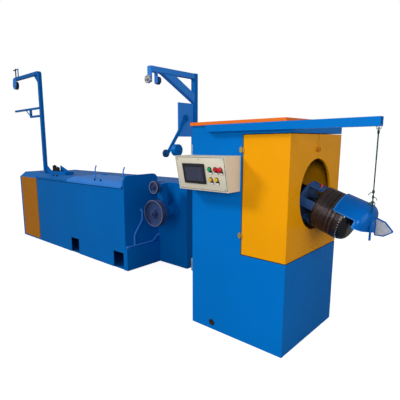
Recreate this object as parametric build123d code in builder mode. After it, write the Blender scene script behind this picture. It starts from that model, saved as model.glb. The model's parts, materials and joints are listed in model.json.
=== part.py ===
from build123d import *
import os
from math import cos, sin, sqrt, radians

os.makedirs("parts", exist_ok=True)

# Wet wire drawing machine with its elephant-nose take-up unit, millimetres.
# +X runs along the line to the coil nose, +Y to the back, +Z up.
# The origin is on the floor under the middle of the take-up cabinet.

# Take-up cabinet
cab_length = 810.0
cab_width = 840.0
cab_height = 1600.0
base_height = 670.0
guard_length = 350.0
lintel_height = 70.0
cover_thickness = 24.0
cover_overhang = 16.0
cover_setback = 30.0
cable_hole = 17.0
cable_hole_height = 58.0

# Guard doors of the coil bay
door_sheet = 15.0
door_gap = 6.0
mouth_radius = 255.0
mouth_height = 1100.0

# Coil drum, spindle and trunk
axis_tilt = 20.0
axis_drop = 70.0
drum_radius = 148.0
drum_end = 235.0
drum_hub = 70.0
hub_length = 40.0
cage_start = -75.0
cage_length = 120.0
cage_wall = 12.0
cage_disc = 16.0
cage_windows = 6
cage_window_width = 92.0
cage_turn = 52.0
coil_thickness = 5.0
coil_seat = 0.5
coil_margin = 2.0
nose_length = 58.0
nose_round = 52.0
spindle_radius = 30.0
housing_radius = 95.0
housing_gap = 25.0
housing_root = 80.0
run_gap = 0.08
trunk_gap = 5.0
trunk_sheet = 4.0
trunk_start = 176.0
trunk_length = 149.0
hood_straight = 51.0
hood_end = 55.0
hood_round = 66.0
trunk_arc = 68.0
hood_arc = 86.0
web_sheet = 8.0
web_gap = 37.0

# Stay beam, rope, trunk rod and nose ring
beam_size = 50.0
beam_wall = 4.0
beam_length = 1155.0
beam_reach = 512.0
rope_radius = 4.0
rope_inset = 12.0
rod_radius = 7.0
rod_inset = 7.0
rod_stand = 75.0
rod_below = 40.0
rod_above = 140.0
stub_above = 65.0
stub_length = 40.0
ring_weld = 4.0
ring_foot = 19.0
ring_top = 105.0
ring_shoulder = 60.0
ring_shoulder_top = 79.0
ring_reach = 111.0
ring_heel = 54.0
ring_round = 10.0
ring_band = 8.0
ring_plate = 4.0

# Control box
box_length = 450.0
box_height = 249.0
box_drop = 168.0
box_depth_top = 194.0
box_depth_foot = 137.0
screen_width = 204.0
screen_height = 150.0
screen_thickness = 6.0
button_radius = 15.0
button_height = 16.0
button_margin = 42.0
button_pitch = 50.0
button_row = 74.0
stop_radius = 20.0
screen_margin = 68.0
box_clear = 15.0

# Drawing tank and gear case
line_gap = 895.0
capstan_bay = 484.0
tank_length = 2678.0
tank_depth = 530.0
tank_front = -20.0
tank_wall_top = 965.0
tank_sheet = 8.0
floor_level = 240.0
gear_depth = 490.0
gear_height = 1012.0
end_plate = 25.0
end_plate_top = 1112.0
end_plate_round = 70.0
lid_length = 1180.0
lid_top = 1035.0
lid_slope = 95.0
lid_sheet = 12.0
rim_out = 16.0
rim_height = 24.0
lid_gap = 6.0
handle_rod = 8.0
handle_height = 165.0
handle_hook = 45.0
handle_lean = 26.0
handle_inset = 20.0
handle_end = 110.0
handle_pitch = 570.0
pocket_width = 195.0
pocket_height = 205.0
pocket_inset = 14.0
pocket_pitch = 962.0
panel_width = 510.0
panel_sheet = 6.0
panel_inset = 57.0
panel_foot = 25.0
cone_count = 4
cone_height = 600.0
cone_shaft = 25.0
cone_step = 36.0
cone_clear = 50.0
cone_big = 150.0
cone_drop = 16.0
skirt_depth = 30.0
skirt_height = 270.0
base_sheet = 6.0
pipe_radius = 11.0
pipe_out = 17.0
pipe_lift = 2.0
pipe_a_y = 255.0
pipe_a_top = 694.0
pipe_a_straight = 114.0
pipe_a_foot_y = 126.0
pipe_a_foot_top = 410.0
pipe_a_elbow = 15.0
pipe_b_top = 349.0
pipe_b_straight = 28.0
pipe_b_reach = 115.0
pipe_b_end = 15.0
pipe_bend = 70.0

# Take-off capstan
capstan_back = 210.0
capstan_radius = 152.0
capstan_width = 72.0
capstan_height = 692.0
sleeve_radius = 68.0
sleeve_flange = 90.0
sleeve_length = 145.0
flange_depth = 40.0
axle_end = 4.0
bracket_width = 90.0
bracket_depth = 79.0
bracket_above = 40.0
bracket_below = 50.0
wheel_gap = 40.0
idler_gap = 60.0
idler_radius = 72.0
idler_width = 44.0
idler_height = 985.0
capstan_axle = 25.0
idler_axle = 12.0
groove = 12.0
flange_lip = 9.0

# Delivery gantry and dancer
gantry_back = 225.0
gantry_inset = 95.0
gantry_tube = 60.0
gantry_rise = 521.0
gantry_arm_length = 690.0
brace_start = 336.0
brace_width = 191.0
brace_slope = 0.52
guide_radius = 42.0
guide_width = 26.0
guide_axle = 8.0
guide_drop = 79.0
guide_plate = 14.0
guide_gap = 6.0
guide_foot = 30.0
tongue_inset = 93.0
tongue_width = 44.0
dancer_height = 1759.0
dancer_length = 512.0
dancer_angle = 38.0
dancer_bar = 40.0
dancer_sheet = 15.0
dancer_pin = 15.0
dancer_plate_sheet = 14.0
dancer_gap = 6.0
pivot_inset = 148.0
plate_above = 176.0
plate_below = 214.0
plate_width = 261.0
dancer_roller_radius = 44.0
weight_radius = 65.0
weight_length = 60.0
weight_place = 464.0
weight_stand = 80.0

# Inlet mast
mast_back = 450.0
mast_y = 200.0
mast_tube = 50.0
mast_top = 2560.0
mast_arm = 805.0
mast_gusset = 144.0
inlet_radius = 66.0
inlet_width = 30.0
inlet_drop = 74.0
inlet_set = 20.0
inlet_axle = 8.0
inlet_gap = 10.0
fork_sheet = 12.0
fork_width = 130.0
fork_foot = 58.0
upright = 133.0
upright_radius = 9.0
upright_inset = 24.0
upright_pitch = 90.0
cross_over = 60.0
cross_bar = 163.0
gusset_sheet = 10.0
foot_gusset = 220.0
guide_bar = 30.0
long_bar = 894.0
short_bar = 355.0
bar_pitch = 119.0
guide_bar_height = 2024.0
trough_length = 457.0
trough_gap = 5.0
trough_width = 140.0
trough_height = 40.0
wedge_length = 250.0
wedge_height = 85.0
wedge_sheet = 12.0
roller_radius = 30.0
roller_tall = 80.0
roller_start = 120.0
roller_pitch = 90.0
roller_stand = 44.0

# Places that follow from the sizes
cab_x0 = -cab_length / 2
cab_x1 = cab_length / 2
cab_y0 = -cab_width / 2
cab_y1 = cab_width / 2
bay_x0 = cab_x1 - guard_length
bay_z1 = cab_height - lintel_height
gear_x1 = cab_x0 - line_gap
tank_x1 = gear_x1 - capstan_bay
tank_x0 = tank_x1 - tank_length
plate_x0 = tank_x1 - end_plate
gear_y0 = tank_front + tank_depth
gear_y1 = gear_y0 + gear_depth
lid_x1 = plate_x0 - lid_gap
lid_x0 = lid_x1 - lid_length
deck_x1 = lid_x0 - lid_gap
tilt = radians(axis_tilt)
axis_dir = (cos(tilt), 0, -sin(tilt))
axis_up = (sin(tilt), 0, cos(tilt))
axis_z = mouth_height - axis_drop
coil_start = cage_start + cage_length
coil_radius = drum_radius + coil_thickness
trunk_inner = coil_radius + trunk_gap
trunk_outer = trunk_inner + trunk_sheet
gantry_top = dancer_height + gantry_rise
box_foot = cab_height - beam_size - box_drop - box_height


def span(x0, x1, y0, y1, z0, z1):
    """Plane at the middle of a box, and the box's three sizes."""
    place = Plane(((x0 + x1) / 2, (y0 + y1) / 2, (z0 + z1) / 2))
    return place, x1 - x0, y1 - y0, z1 - z0


def along_axis(s):
    """Plane square to the drum axis, s past the mouth of the coil bay."""
    origin = (cab_x1 + s * axis_dir[0], 0, axis_z + s * axis_dir[2])
    return Plane(origin, x_dir=axis_up, z_dir=axis_dir)


def through_axis(angle):
    """Plane through the drum axis, turned by an angle from the top towards the front."""
    lean = radians(angle)
    normal = (-axis_up[0] * sin(lean), -cos(lean), -axis_up[2] * sin(lean))
    return Plane((cab_x1, 0, axis_z), x_dir=axis_dir, z_dir=normal)


def facing_front(x, y, z):
    """Plane at a point, its normal towards the operator's side."""
    return Plane((x, y, z), x_dir=(1, 0, 0), z_dir=(0, -1, 0))


def facing_right(x, y, z):
    """Plane at a point, its normal along the line towards the coil nose."""
    return Plane((x, y, z), x_dir=(0, 1, 0), z_dir=(1, 0, 0))


# Take-up cabinet: closed lower housing with a cable hole low in the front
place, lx, ly, lz = span(cab_x0, cab_x1, cab_y0, cab_y1, 0, base_height)
with BuildPart(place) as cabinet_base:
    Box(lx, ly, lz)
    with BuildSketch(facing_front(cab_x0 + 0.25 * cab_length, cab_y0, cable_hole_height)):
        Circle(cable_hole)
    extrude(amount=-60, mode=Mode.SUBTRACT)
cabinet_base.part.label = "cabinet_base"
export_step(cabinet_base.part, "parts/cabinet_base.step")

place, lx, ly, lz = span(cab_x0, bay_x0, cab_y0, cab_y1, base_height, cab_height)
with BuildPart(place) as cabinet_column:
    Box(lx, ly, lz)
cabinet_column.part.label = "cabinet_column"
export_step(cabinet_column.part, "parts/cabinet_column.step")

place, lx, ly, lz = span(bay_x0, cab_x1, cab_y0, cab_y1, bay_z1, cab_height)
with BuildPart(place) as cabinet_lintel:
    Box(lx, ly, lz)
cabinet_lintel.part.label = "cabinet_lintel"
export_step(cabinet_lintel.part, "parts/cabinet_lintel.step")

# Cover plate on top, a little longer than the housing at the left and front
place, lx, ly, lz = span(
    cab_x0 - cover_overhang, cab_x1 - cover_setback,
    cab_y0 - cover_overhang, cab_y1 + cover_overhang,
    cab_height, cab_height + cover_thickness)
with BuildPart(place) as cabinet_cover:
    Box(lx, ly, lz)
    fillet(cabinet_cover.edges().filter_by(Axis.Z), 12)
cabinet_cover.part.label = "cabinet_cover"
export_step(cabinet_cover.part, "parts/cabinet_cover.step")

# Stay beam under the front edge of the cover, a square tube
beam_x1 = cab_x1 + beam_reach
beam_y = cab_y0 - beam_size / 2
beam_z = cab_height - beam_size / 2
beam_end = facing_right(beam_x1, beam_y, beam_z)
with BuildPart() as stay_beam:
    with BuildSketch(beam_end):
        Rectangle(beam_size, beam_size)
        Rectangle(beam_size - 2 * beam_wall, beam_size - 2 * beam_wall, mode=Mode.SUBTRACT)
    extrude(amount=-beam_length)
stay_beam.part.label = "stay_beam"
export_step(stay_beam.part, "parts/stay_beam.step")

# Guard doors: a side panel and half of the end panel each, round the mouth
door_z0 = base_height + door_gap
door_z1 = bay_z1 - door_gap
door_x0 = bay_x0 + door_gap
for side, label in ((-1, "front_guard"), (1, "rear_guard")):
    outer = side * cab_width / 2
    inner = side * (cab_width / 2 - door_sheet)
    seam = side * door_gap / 2
    place, lx, ly, lz = span(
        door_x0, cab_x1, min(outer, inner), max(outer, inner), door_z0, door_z1)
    with BuildPart(place) as guard_side:
        Box(lx, ly, lz)
    guard_side.part.label = label + "_side"
    export_step(guard_side.part, "parts/" + label + "_side.step")
    place, lx, ly, lz = span(
        cab_x1 - door_sheet, cab_x1, min(inner, seam), max(inner, seam), door_z0, door_z1)
    with BuildPart(place) as guard_end:
        Box(lx, ly, lz)
        with BuildSketch(facing_right(cab_x1, 0, mouth_height)):
            Circle(mouth_radius)
        extrude(amount=-door_sheet, mode=Mode.SUBTRACT)
    guard_end.part.label = label + "_end"
    export_step(guard_end.part, "parts/" + label + "_end.step")

# Spindle: bearing housing on the column and the shaft that carries drum and trunk
hood_s = trunk_start + trunk_length
shoulder_s = hood_s + hood_straight
tip_s = shoulder_s + hood_end
housing_s0 = (bay_x0 - cab_x1) / axis_dir[0] - housing_root
housing_s1 = cage_start - housing_gap
web_s = drum_end + nose_length + web_gap
with BuildPart() as spindle:
    with BuildSketch(along_axis(housing_s0)):
        Circle(housing_radius)
    extrude(amount=housing_s1 - housing_s0)
    split(bisect_by=Plane((bay_x0, 0, 0), z_dir=(1, 0, 0)), keep=Keep.TOP)
    with BuildSketch(along_axis(housing_s1)):
        Circle(spindle_radius)
    extrude(amount=web_s - housing_s1)
spindle.part.label = "spindle"
export_step(spindle.part, "parts/spindle.step")

# Inner end of the drum: a disc and the bars between its windows
with BuildPart() as cage_plate:
    with BuildSketch(along_axis(cage_start)):
        Circle(drum_radius)
        Circle(spindle_radius + run_gap, mode=Mode.SUBTRACT)
    extrude(amount=cage_disc)
with BuildPart() as cage_bars:
    with BuildSketch(along_axis(cage_start + cage_disc)):
        Circle(drum_radius)
        Circle(drum_radius - cage_wall, mode=Mode.SUBTRACT)
        with PolarLocations(drum_radius, cage_windows, start_angle=cage_turn):
            Rectangle(4 * cage_wall, cage_window_width, mode=Mode.SUBTRACT)
    extrude(amount=cage_length - cage_disc)
drum_cage = Compound(cage_plate.part.solids() + cage_bars.part.solids())
drum_cage.label = "drum_cage"
export_step(drum_cage, "parts/drum_cage.step")

# Drum under the coil, with the hub seen through the windows
with BuildPart() as drum_body:
    with BuildSketch(along_axis(coil_start)):
        Circle(drum_radius)
    extrude(amount=drum_end - coil_start)
    with BuildSketch(along_axis(coil_start)):
        Circle(drum_hub)
    extrude(amount=-hub_length)
    with BuildSketch(along_axis(coil_start - hub_length)):
        Circle(spindle_radius + run_gap)
    extrude(amount=drum_end - coil_start + hub_length, mode=Mode.SUBTRACT)
drum_body.part.label = "drum_body"
export_step(drum_body.part, "parts/drum_body.step")

# Wire wound on the drum
with BuildPart() as wire_coil:
    with BuildSketch(along_axis(coil_start + coil_margin)):
        Circle(coil_radius)
        Circle(drum_radius + coil_seat, mode=Mode.SUBTRACT)
    extrude(amount=drum_end - coil_start - 2 * coil_margin)
wire_coil.part.label = "wire_coil"
export_step(wire_coil.part, "parts/wire_coil.step")

# Black nose of the drum under the trunk, its end rounded
turn_axis = Axis((cab_x1, 0, axis_z), axis_dir)
nose_s1 = drum_end + nose_length
nose_bore = spindle_radius + run_gap
with BuildPart() as drum_nose:
    with BuildSketch(through_axis(0)):
        with BuildLine():
            FilletPolyline(
                (drum_end, drum_radius), (nose_s1, drum_radius), (nose_s1, nose_bore), radius=nose_round)
            Polyline((nose_s1, nose_bore), (drum_end, nose_bore), (drum_end, drum_radius))
        make_face()
    revolve(axis=turn_axis)
drum_nose.part.label = "drum_nose"
export_step(drum_nose.part, "parts/drum_nose.step")

# Trunk: half shell over the drum end closed by a hood, with the web that holds it,
# the rod that takes the stay rope and the ring at the tip, all welded together
tip_x = cab_x1 + tip_s * axis_dir[0]
tip_z = axis_z + tip_s * axis_dir[2]
hood_skin = trunk_sheet * sqrt(1 + (hood_end / trunk_outer) ** 2)
shoulder_in = shoulder_s + trunk_sheet * hood_end / trunk_outer - hood_skin
rod_x = tip_x - rod_inset
rod_y = -rod_stand
rod_z1 = tip_z + rod_above
mid_plane = Plane((tip_x, 0, tip_z), x_dir=(1, 0, 0), z_dir=(0, -1, 0))
ring_corners = (
    (-ring_weld, -ring_foot), (-ring_weld, ring_top), (ring_shoulder, ring_shoulder_top),
    (ring_reach, ring_foot), (ring_heel, -ring_foot))
with BuildPart() as trunk:
    with BuildSketch(through_axis(-trunk_arc)):
        with BuildLine():
            Polyline(
                (trunk_start, trunk_inner), (trunk_start, trunk_outer),
                (hood_s, trunk_outer), (hood_s, trunk_inner), close=True)
        make_face()
    revolve(axis=turn_axis, revolution_arc=2 * trunk_arc)
    with BuildSketch(through_axis(-hood_arc)):
        with BuildLine():
            FilletPolyline(
                (hood_s, trunk_outer), (shoulder_s, trunk_outer), (tip_s, 0), radius=hood_round)
            Line((tip_s, 0), (tip_s - hood_skin, 0))
            FilletPolyline(
                (tip_s - hood_skin, 0), (shoulder_in, trunk_inner), (hood_s, trunk_inner),
                radius=hood_round - trunk_sheet)
            Line((hood_s, trunk_inner), (hood_s, trunk_outer))
        make_face()
    revolve(axis=turn_axis, revolution_arc=2 * hood_arc)
    with BuildSketch(along_axis(web_s)):
        Circle(trunk_inner + trunk_sheet / 2)
        with Locations((-trunk_outer, 0)):
            Rectangle(2 * trunk_outer, 2 * trunk_outer, mode=Mode.SUBTRACT)
    extrude(amount=web_sheet)
    with BuildSketch(Plane((rod_x, rod_y, tip_z - rod_below))):
        Circle(rod_radius)
    extrude(amount=rod_below + rod_above)
    with BuildSketch(facing_front(rod_x, rod_y, tip_z + stub_above)):
        Circle(rod_radius - 1)
    extrude(amount=-stub_length)
    with BuildSketch(mid_plane) as ring_outline:
        Polygon(*ring_corners, align=None)
        fillet(ring_outline.vertices(), ring_round)
        offset(amount=-ring_band, mode=Mode.SUBTRACT)
    extrude(amount=ring_band / 2, both=True)
trunk.part.label = "trunk"
export_step(trunk.part, "parts/trunk.step")

# Plate inside the nose ring
with BuildPart() as nose_plate:
    with BuildSketch(mid_plane) as plate_outline:
        Polygon(*ring_corners, align=None)
        fillet(plate_outline.vertices(), ring_round)
        offset(amount=-ring_band, mode=Mode.REPLACE)
    extrude(amount=ring_plate / 2, both=True)
nose_plate.part.label = "nose_plate"
export_step(nose_plate.part, "parts/nose_plate.step")

# Stay rope from the beam's end to the top of the trunk rod
rope_top = Vector(beam_x1 - rope_inset, beam_y, cab_height - beam_size - rope_radius)
rope_foot = Vector(rod_x, rod_y, rod_z1 + rope_radius)
rope_run = rope_foot - rope_top
with BuildPart() as stay_rope:
    with BuildSketch(Plane(rope_top, z_dir=rope_run.normalized())):
        Circle(rope_radius)
    extrude(amount=rope_run.length)
stay_rope.part.label = "stay_rope"
export_step(stay_rope.part, "parts/stay_rope.step")

# Control box on the front of the column, its face leaning a little downwards
box_x1 = bay_x0 - box_clear
box_x0 = box_x1 - box_length
box_mid_x = (box_x0 + box_x1) / 2
lean = Vector(0, box_depth_foot - box_depth_top, box_height).normalized()
face_out = Vector(1, 0, 0).cross(lean)
face_mid = Vector(
    box_mid_x, cab_y0 - (box_depth_top + box_depth_foot) / 2, box_foot + box_height / 2)
panel_face = Plane(face_mid, x_dir=(1, 0, 0), z_dir=face_out)
with BuildPart() as control_box:
    with BuildSketch(facing_right(box_x0, cab_y0, box_foot)):
        Polygon(
            (0, 0), (-box_depth_foot, 0), (-box_depth_top, box_height), (0, box_height), align=None)
    extrude(amount=box_length)
control_box.part.label = "control_box"
export_step(control_box.part, "parts/control_box.step")

screen_x = -box_length / 2 + screen_margin + screen_width / 2
with BuildPart() as control_screen:
    with BuildSketch(panel_face):
        with Locations((screen_x, 0)):
            RectangleRounded(screen_width, screen_height, 6)
    extrude(amount=screen_thickness)
control_screen.part.label = "control_screen"
export_step(control_screen.part, "parts/control_screen.step")

# Push buttons in two rows beside the screen, and the mushroom stop button
button_x = screen_x + screen_width / 2 + button_margin
upper = button_row / 2
lower = -button_row / 2
for label, spots, radius in (
        ("button_green", ((button_x, upper),), button_radius),
        ("buttons_yellow", ((button_x, lower), (button_x + button_pitch, lower)), button_radius),
        ("buttons_red", ((button_x + button_pitch, upper),), button_radius),
        ("stop_button", ((button_x + 2 * button_pitch - 8, upper),), stop_radius)):
    with BuildPart() as button:
        with BuildSketch(panel_face):
            with Locations(*spots):
                Circle(radius)
        extrude(amount=button_height)
    button.part.label = label
    export_step(button.part, "parts/" + label + ".step")

# Gear case behind the drawing tank and the capstan, a closed housing
place, lx, ly, lz = span(tank_x0, gear_x1, gear_y0, gear_y1, 0, gear_height)
with BuildPart(place) as gear_case:
    Box(lx, ly, lz)
    chamfer(gear_case.edges().group_by(Axis.Z)[-1], 6)
gear_case.part.label = "gear_case"
export_step(gear_case.part, "parts/gear_case.step")

# Drawing tank: front wall with two floor notches, side wall, floor and base sheet, end plate
pocket_x1 = (plate_x0 - pocket_inset, plate_x0 - pocket_inset - pocket_pitch)
place, lx, ly, lz = span(tank_x0, plate_x0, tank_front, tank_front + tank_sheet, 0, tank_wall_top)
with BuildPart(place) as tank_front_wall:
    Box(lx, ly, lz)
    for x1 in pocket_x1:
        with BuildSketch(facing_front(x1 - pocket_width / 2, tank_front, pocket_height / 2)):
            Rectangle(pocket_width, pocket_height)
        extrude(amount=-tank_sheet, mode=Mode.SUBTRACT)
tank_front_wall.part.label = "tank_front_wall"
export_step(tank_front_wall.part, "parts/tank_front_wall.step")

place, lx, ly, lz = span(
    tank_x0, tank_x0 + tank_sheet, tank_front + tank_sheet, gear_y0, 0, tank_wall_top)
with BuildPart(place) as tank_side_wall:
    Box(lx, ly, lz)
tank_side_wall.part.label = "tank_side_wall"
export_step(tank_side_wall.part, "parts/tank_side_wall.step")

place, lx, ly, lz = span(
    tank_x0 + tank_sheet, plate_x0, tank_front + tank_sheet, gear_y0,
    floor_level, floor_level + tank_sheet)
with BuildPart(place) as tank_floor:
    Box(lx, ly, lz)
    with Locations((0, 0, (base_sheet - tank_sheet) / 2 - floor_level)):
        Box(lx, ly, base_sheet)
tank_floor.part.label = "tank_floor"
export_step(tank_floor.part, "parts/tank_floor.step")

place, lx, ly, lz = span(plate_x0, tank_x1, tank_front, gear_y0, 0, end_plate_top)
with BuildPart(place) as tank_end_plate:
    Box(lx, ly, lz)
    fillet(tank_end_plate.edges().filter_by(Axis.X).group_by(Axis.Z)[-1], end_plate_round)
tank_end_plate.part.label = "tank_end_plate"
export_step(tank_end_plate.part, "parts/tank_end_plate.step")

# Yellow panel screwed on the front wall at the inlet end
place, lx, ly, lz = span(
    tank_x0 + panel_inset, tank_x0 + panel_inset + panel_width,
    tank_front - panel_sheet, tank_front, panel_foot, tank_wall_top)
with BuildPart(place) as inlet_panel:
    Box(lx, ly, lz)
inlet_panel.part.label = "inlet_panel"
export_step(inlet_panel.part, "parts/inlet_panel.step")

# Fixed deck over the inlet end of the tank, sloped at the front, with a rim past the panel
rim_z = tank_wall_top + lid_gap
with BuildPart() as tank_deck:
    with BuildSketch(facing_right(tank_x0, 0, 0)):
        Polygon(
            (tank_front, tank_wall_top), (tank_front + lid_slope, lid_top),
            (gear_y0, lid_top), (gear_y0, tank_wall_top), align=None)
    extrude(amount=deck_x1 - tank_x0)
    with BuildSketch(facing_right(deck_x1, 0, 0)):
        Polygon(
            (tank_front - rim_out, rim_z), (tank_front - rim_out, rim_z + rim_height),
            (tank_front + lid_slope, lid_top), (tank_front + lid_slope, rim_z), align=None)
    extrude(amount=tank_x0 + panel_inset + panel_width - deck_x1)
tank_deck.part.label = "tank_deck"
export_step(tank_deck.part, "parts/tank_deck.step")

# Lid over the rest of the tank, a folded sheet hinged at the gear case
lid_y1 = gear_y0 - lid_gap
with BuildPart() as tank_lid:
    with BuildSketch(facing_right(lid_x0, 0, 0)):
        Polygon(
            (tank_front - rim_out, rim_z), (tank_front - rim_out, rim_z + rim_height),
            (tank_front + lid_slope, lid_top), (lid_y1, lid_top), (lid_y1, lid_top - lid_sheet),
            (tank_front + lid_slope, lid_top - lid_sheet),
            (tank_front - rim_out + lid_sheet, rim_z + rim_height - lid_sheet),
            (tank_front - rim_out + lid_sheet, rim_z), align=None)
    extrude(amount=lid_length)
tank_lid.part.label = "tank_lid"
export_step(tank_lid.part, "parts/tank_lid.step")

# Hook handles standing on the lid
handle_y = tank_front + lid_slope + handle_inset
with BuildPart() as lid_handles:
    for back in (handle_end, handle_end + handle_pitch):
        foot = Vector(lid_x1 - back, handle_y, lid_top)
        with BuildLine():
            FilletPolyline(
                foot, foot + Vector(0, 0, handle_height - handle_hook),
                foot + Vector(handle_lean, 0, handle_height), radius=handle_hook)
        with BuildSketch(Plane(foot)):
            Circle(handle_rod)
        sweep()
lid_handles.part.label = "lid_handles"
export_step(lid_handles.part, "parts/lid_handles.step")

# Stepped drawing cones in the tank, on shafts out of the gear case
cone_pitch = (plate_x0 - tank_x0) / cone_count
cone_places = [
    facing_front(tank_x0 + (i + 0.5) * cone_pitch, gear_y0, cone_height) for i in range(cone_count)]
cone_shaft_length = cone_clear + 6 * cone_step
with BuildPart(*cone_places) as drawing_cones:
    Cylinder(cone_shaft, cone_shaft_length, align=(Align.CENTER, Align.CENTER, Align.MIN))
    for step in range(6):
        with Locations((0, 0, cone_clear + step * cone_step)):
            Cylinder(
                cone_big - step * cone_drop, cone_step,
                align=(Align.CENTER, Align.CENTER, Align.MIN))
drawing_cones.part.label = "drawing_cones"
export_step(drawing_cones.part, "parts/drawing_cones.step")

# Thicker foot of the end plate, with the two coolant pipes over it
place, lx, ly, lz = span(tank_x1, tank_x1 + skirt_depth, tank_front, gear_y0, 0, skirt_height)
with BuildPart(place) as skirt_box:
    Box(lx, ly, lz)
skirt_box.part.label = "skirt_box"
export_step(skirt_box.part, "parts/skirt_box.step")

pipe_x = tank_x1 + pipe_out
pipe_z = skirt_height + pipe_radius + pipe_lift
pipe_a_y0 = tank_front + pipe_a_y
pipe_a_y1 = tank_front + pipe_a_foot_y
pipe_a_route = (
    (tank_x1, pipe_a_y0, pipe_a_top), (pipe_x, pipe_a_y0, pipe_a_top),
    (pipe_x, pipe_a_y0, pipe_a_top - pipe_a_straight), (pipe_x, pipe_a_y1, pipe_a_foot_top),
    (pipe_x, pipe_a_y1, pipe_z))
pipe_b_route = (
    (pipe_x, gear_y0, pipe_b_top), (pipe_x, gear_y0 - pipe_b_straight, pipe_b_top),
    (pipe_x, gear_y0 - pipe_b_reach, pipe_z), (pipe_x, tank_front + pipe_b_end, pipe_z))
with BuildPart() as coolant_pipes:
    with BuildLine() as pipe_a_line:
        FilletPolyline(*pipe_a_route, radius=[pipe_a_elbow, pipe_bend, pipe_bend])
    with BuildSketch(Plane(pipe_a_route[0], z_dir=(1, 0, 0))):
        Circle(pipe_radius)
    sweep(path=pipe_a_line.line)
    with BuildLine() as pipe_b_line:
        FilletPolyline(*pipe_b_route, radius=pipe_bend)
    with BuildSketch(Plane(pipe_b_route[0], z_dir=(0, -1, 0))):
        Circle(pipe_radius)
    sweep(path=pipe_b_line.line)
coolant_pipes.part.label = "coolant_pipes"
export_step(coolant_pipes.part, "parts/coolant_pipes.step")

# Take-off capstan: sleeve on the gear case, bracket with two axles, two wheels
capstan_x = gear_x1 - capstan_back
bracket_y1 = gear_y0 - sleeve_length
bracket_y0 = bracket_y1 - bracket_depth
with BuildPart(facing_front(capstan_x, gear_y0, capstan_height)) as capstan_sleeve:
    Cylinder(sleeve_flange, flange_depth, align=(Align.CENTER, Align.CENTER, Align.MIN))
    Cylinder(sleeve_radius, sleeve_length, align=(Align.CENTER, Align.CENTER, Align.MIN))
capstan_sleeve.part.label = "capstan_sleeve"
export_step(capstan_sleeve.part, "parts/capstan_sleeve.step")

axle_reach = wheel_gap + capstan_width + axle_end
idler_reach = idler_gap + idler_width + axle_end
place, lx, ly, lz = span(
    capstan_x - bracket_width / 2, capstan_x + bracket_width / 2, bracket_y0, bracket_y1,
    capstan_height - bracket_below, idler_height + bracket_above)
with BuildPart(place) as idler_bracket:
    Box(lx, ly, lz)
    with BuildSketch(facing_front(capstan_x, bracket_y0, capstan_height)):
        Circle(capstan_axle)
    extrude(amount=axle_reach)
    with BuildSketch(facing_front(capstan_x, bracket_y0, idler_height)):
        Circle(idler_axle)
    extrude(amount=idler_reach)
idler_bracket.part.label = "idler_bracket"
export_step(idler_bracket.part, "parts/idler_bracket.step")


def wheel(place, radius, width, bore, rim, lip, dish):
    """Grooved wheel on a plane: lips at both faces, a dished outer face and a bore."""
    with BuildPart(place) as made:
        Cylinder(radius - rim, width, align=(Align.CENTER, Align.CENTER, Align.MIN))
        Cylinder(radius, lip, align=(Align.CENTER, Align.CENTER, Align.MIN))
        with Locations((0, 0, width - lip)):
            Cylinder(radius, lip, align=(Align.CENTER, Align.CENTER, Align.MIN))
        with Locations((0, 0, width - dish)):
            Cylinder(
                radius - 2 * rim, dish, align=(Align.CENTER, Align.CENTER, Align.MIN),
                mode=Mode.SUBTRACT)
            Cylinder(2 * bore, dish, align=(Align.CENTER, Align.CENTER, Align.MIN))
        Cylinder(
            bore + run_gap, width, align=(Align.CENTER, Align.CENTER, Align.MIN), mode=Mode.SUBTRACT)
    return made.part


capstan_place = facing_front(capstan_x, bracket_y0 - wheel_gap, capstan_height)
capstan_wheel = wheel(
    capstan_place, capstan_radius, capstan_width, capstan_axle, groove, flange_lip, 18)
capstan_wheel.label = "capstan_wheel"
export_step(capstan_wheel, "parts/capstan_wheel.step")

idler_place = facing_front(capstan_x, bracket_y0 - idler_gap, idler_height)
idler_wheel = wheel(idler_place, idler_radius, idler_width, idler_axle, groove, flange_lip, 10)
idler_wheel.label = "idler_wheel"
export_step(idler_wheel, "parts/idler_wheel.step")

# Delivery gantry on the gear case: post, arm towards the front, diagonal brace
gantry_x = gear_x1 - gantry_back
gantry_y = gear_y1 - gantry_inset
post_y0 = gantry_y - gantry_tube / 2
arm_z0 = gantry_top - gantry_tube
place, lx, ly, lz = span(
    gantry_x - gantry_tube / 2, gantry_x + gantry_tube / 2, post_y0, post_y0 + gantry_tube,
    gear_height, gantry_top)
with BuildPart(place) as gantry_post:
    Box(lx, ly, lz)
    fillet(gantry_post.edges().filter_by(Axis.Z), 5)
gantry_post.part.label = "gantry_post"
export_step(gantry_post.part, "parts/gantry_post.step")

arm_y0 = post_y0 - gantry_arm_length
place, lx, ly, lz = span(
    gantry_x - gantry_tube / 2, gantry_x + gantry_tube / 2, arm_y0, post_y0, arm_z0, gantry_top)
with BuildPart(place) as gantry_arm:
    Box(lx, ly, lz)
    fillet(gantry_arm.edges().filter_by(Axis.Y), 5)
gantry_arm.part.label = "gantry_arm"
export_step(gantry_arm.part, "parts/gantry_arm.step")

brace_y0 = post_y0 - brace_start - brace_width
with BuildPart() as gantry_brace:
    with BuildSketch(facing_right(gantry_x, 0, 0)):
        Polygon(
            (brace_y0, arm_z0), (brace_y0 + brace_width, arm_z0),
            (post_y0, arm_z0 - brace_slope * brace_start),
            (post_y0, arm_z0 - brace_slope * (brace_start + brace_width)), align=None)
    extrude(amount=gantry_tube / 2, both=True)
gantry_brace.part.label = "gantry_brace"
export_step(gantry_brace.part, "parts/gantry_brace.step")

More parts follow.
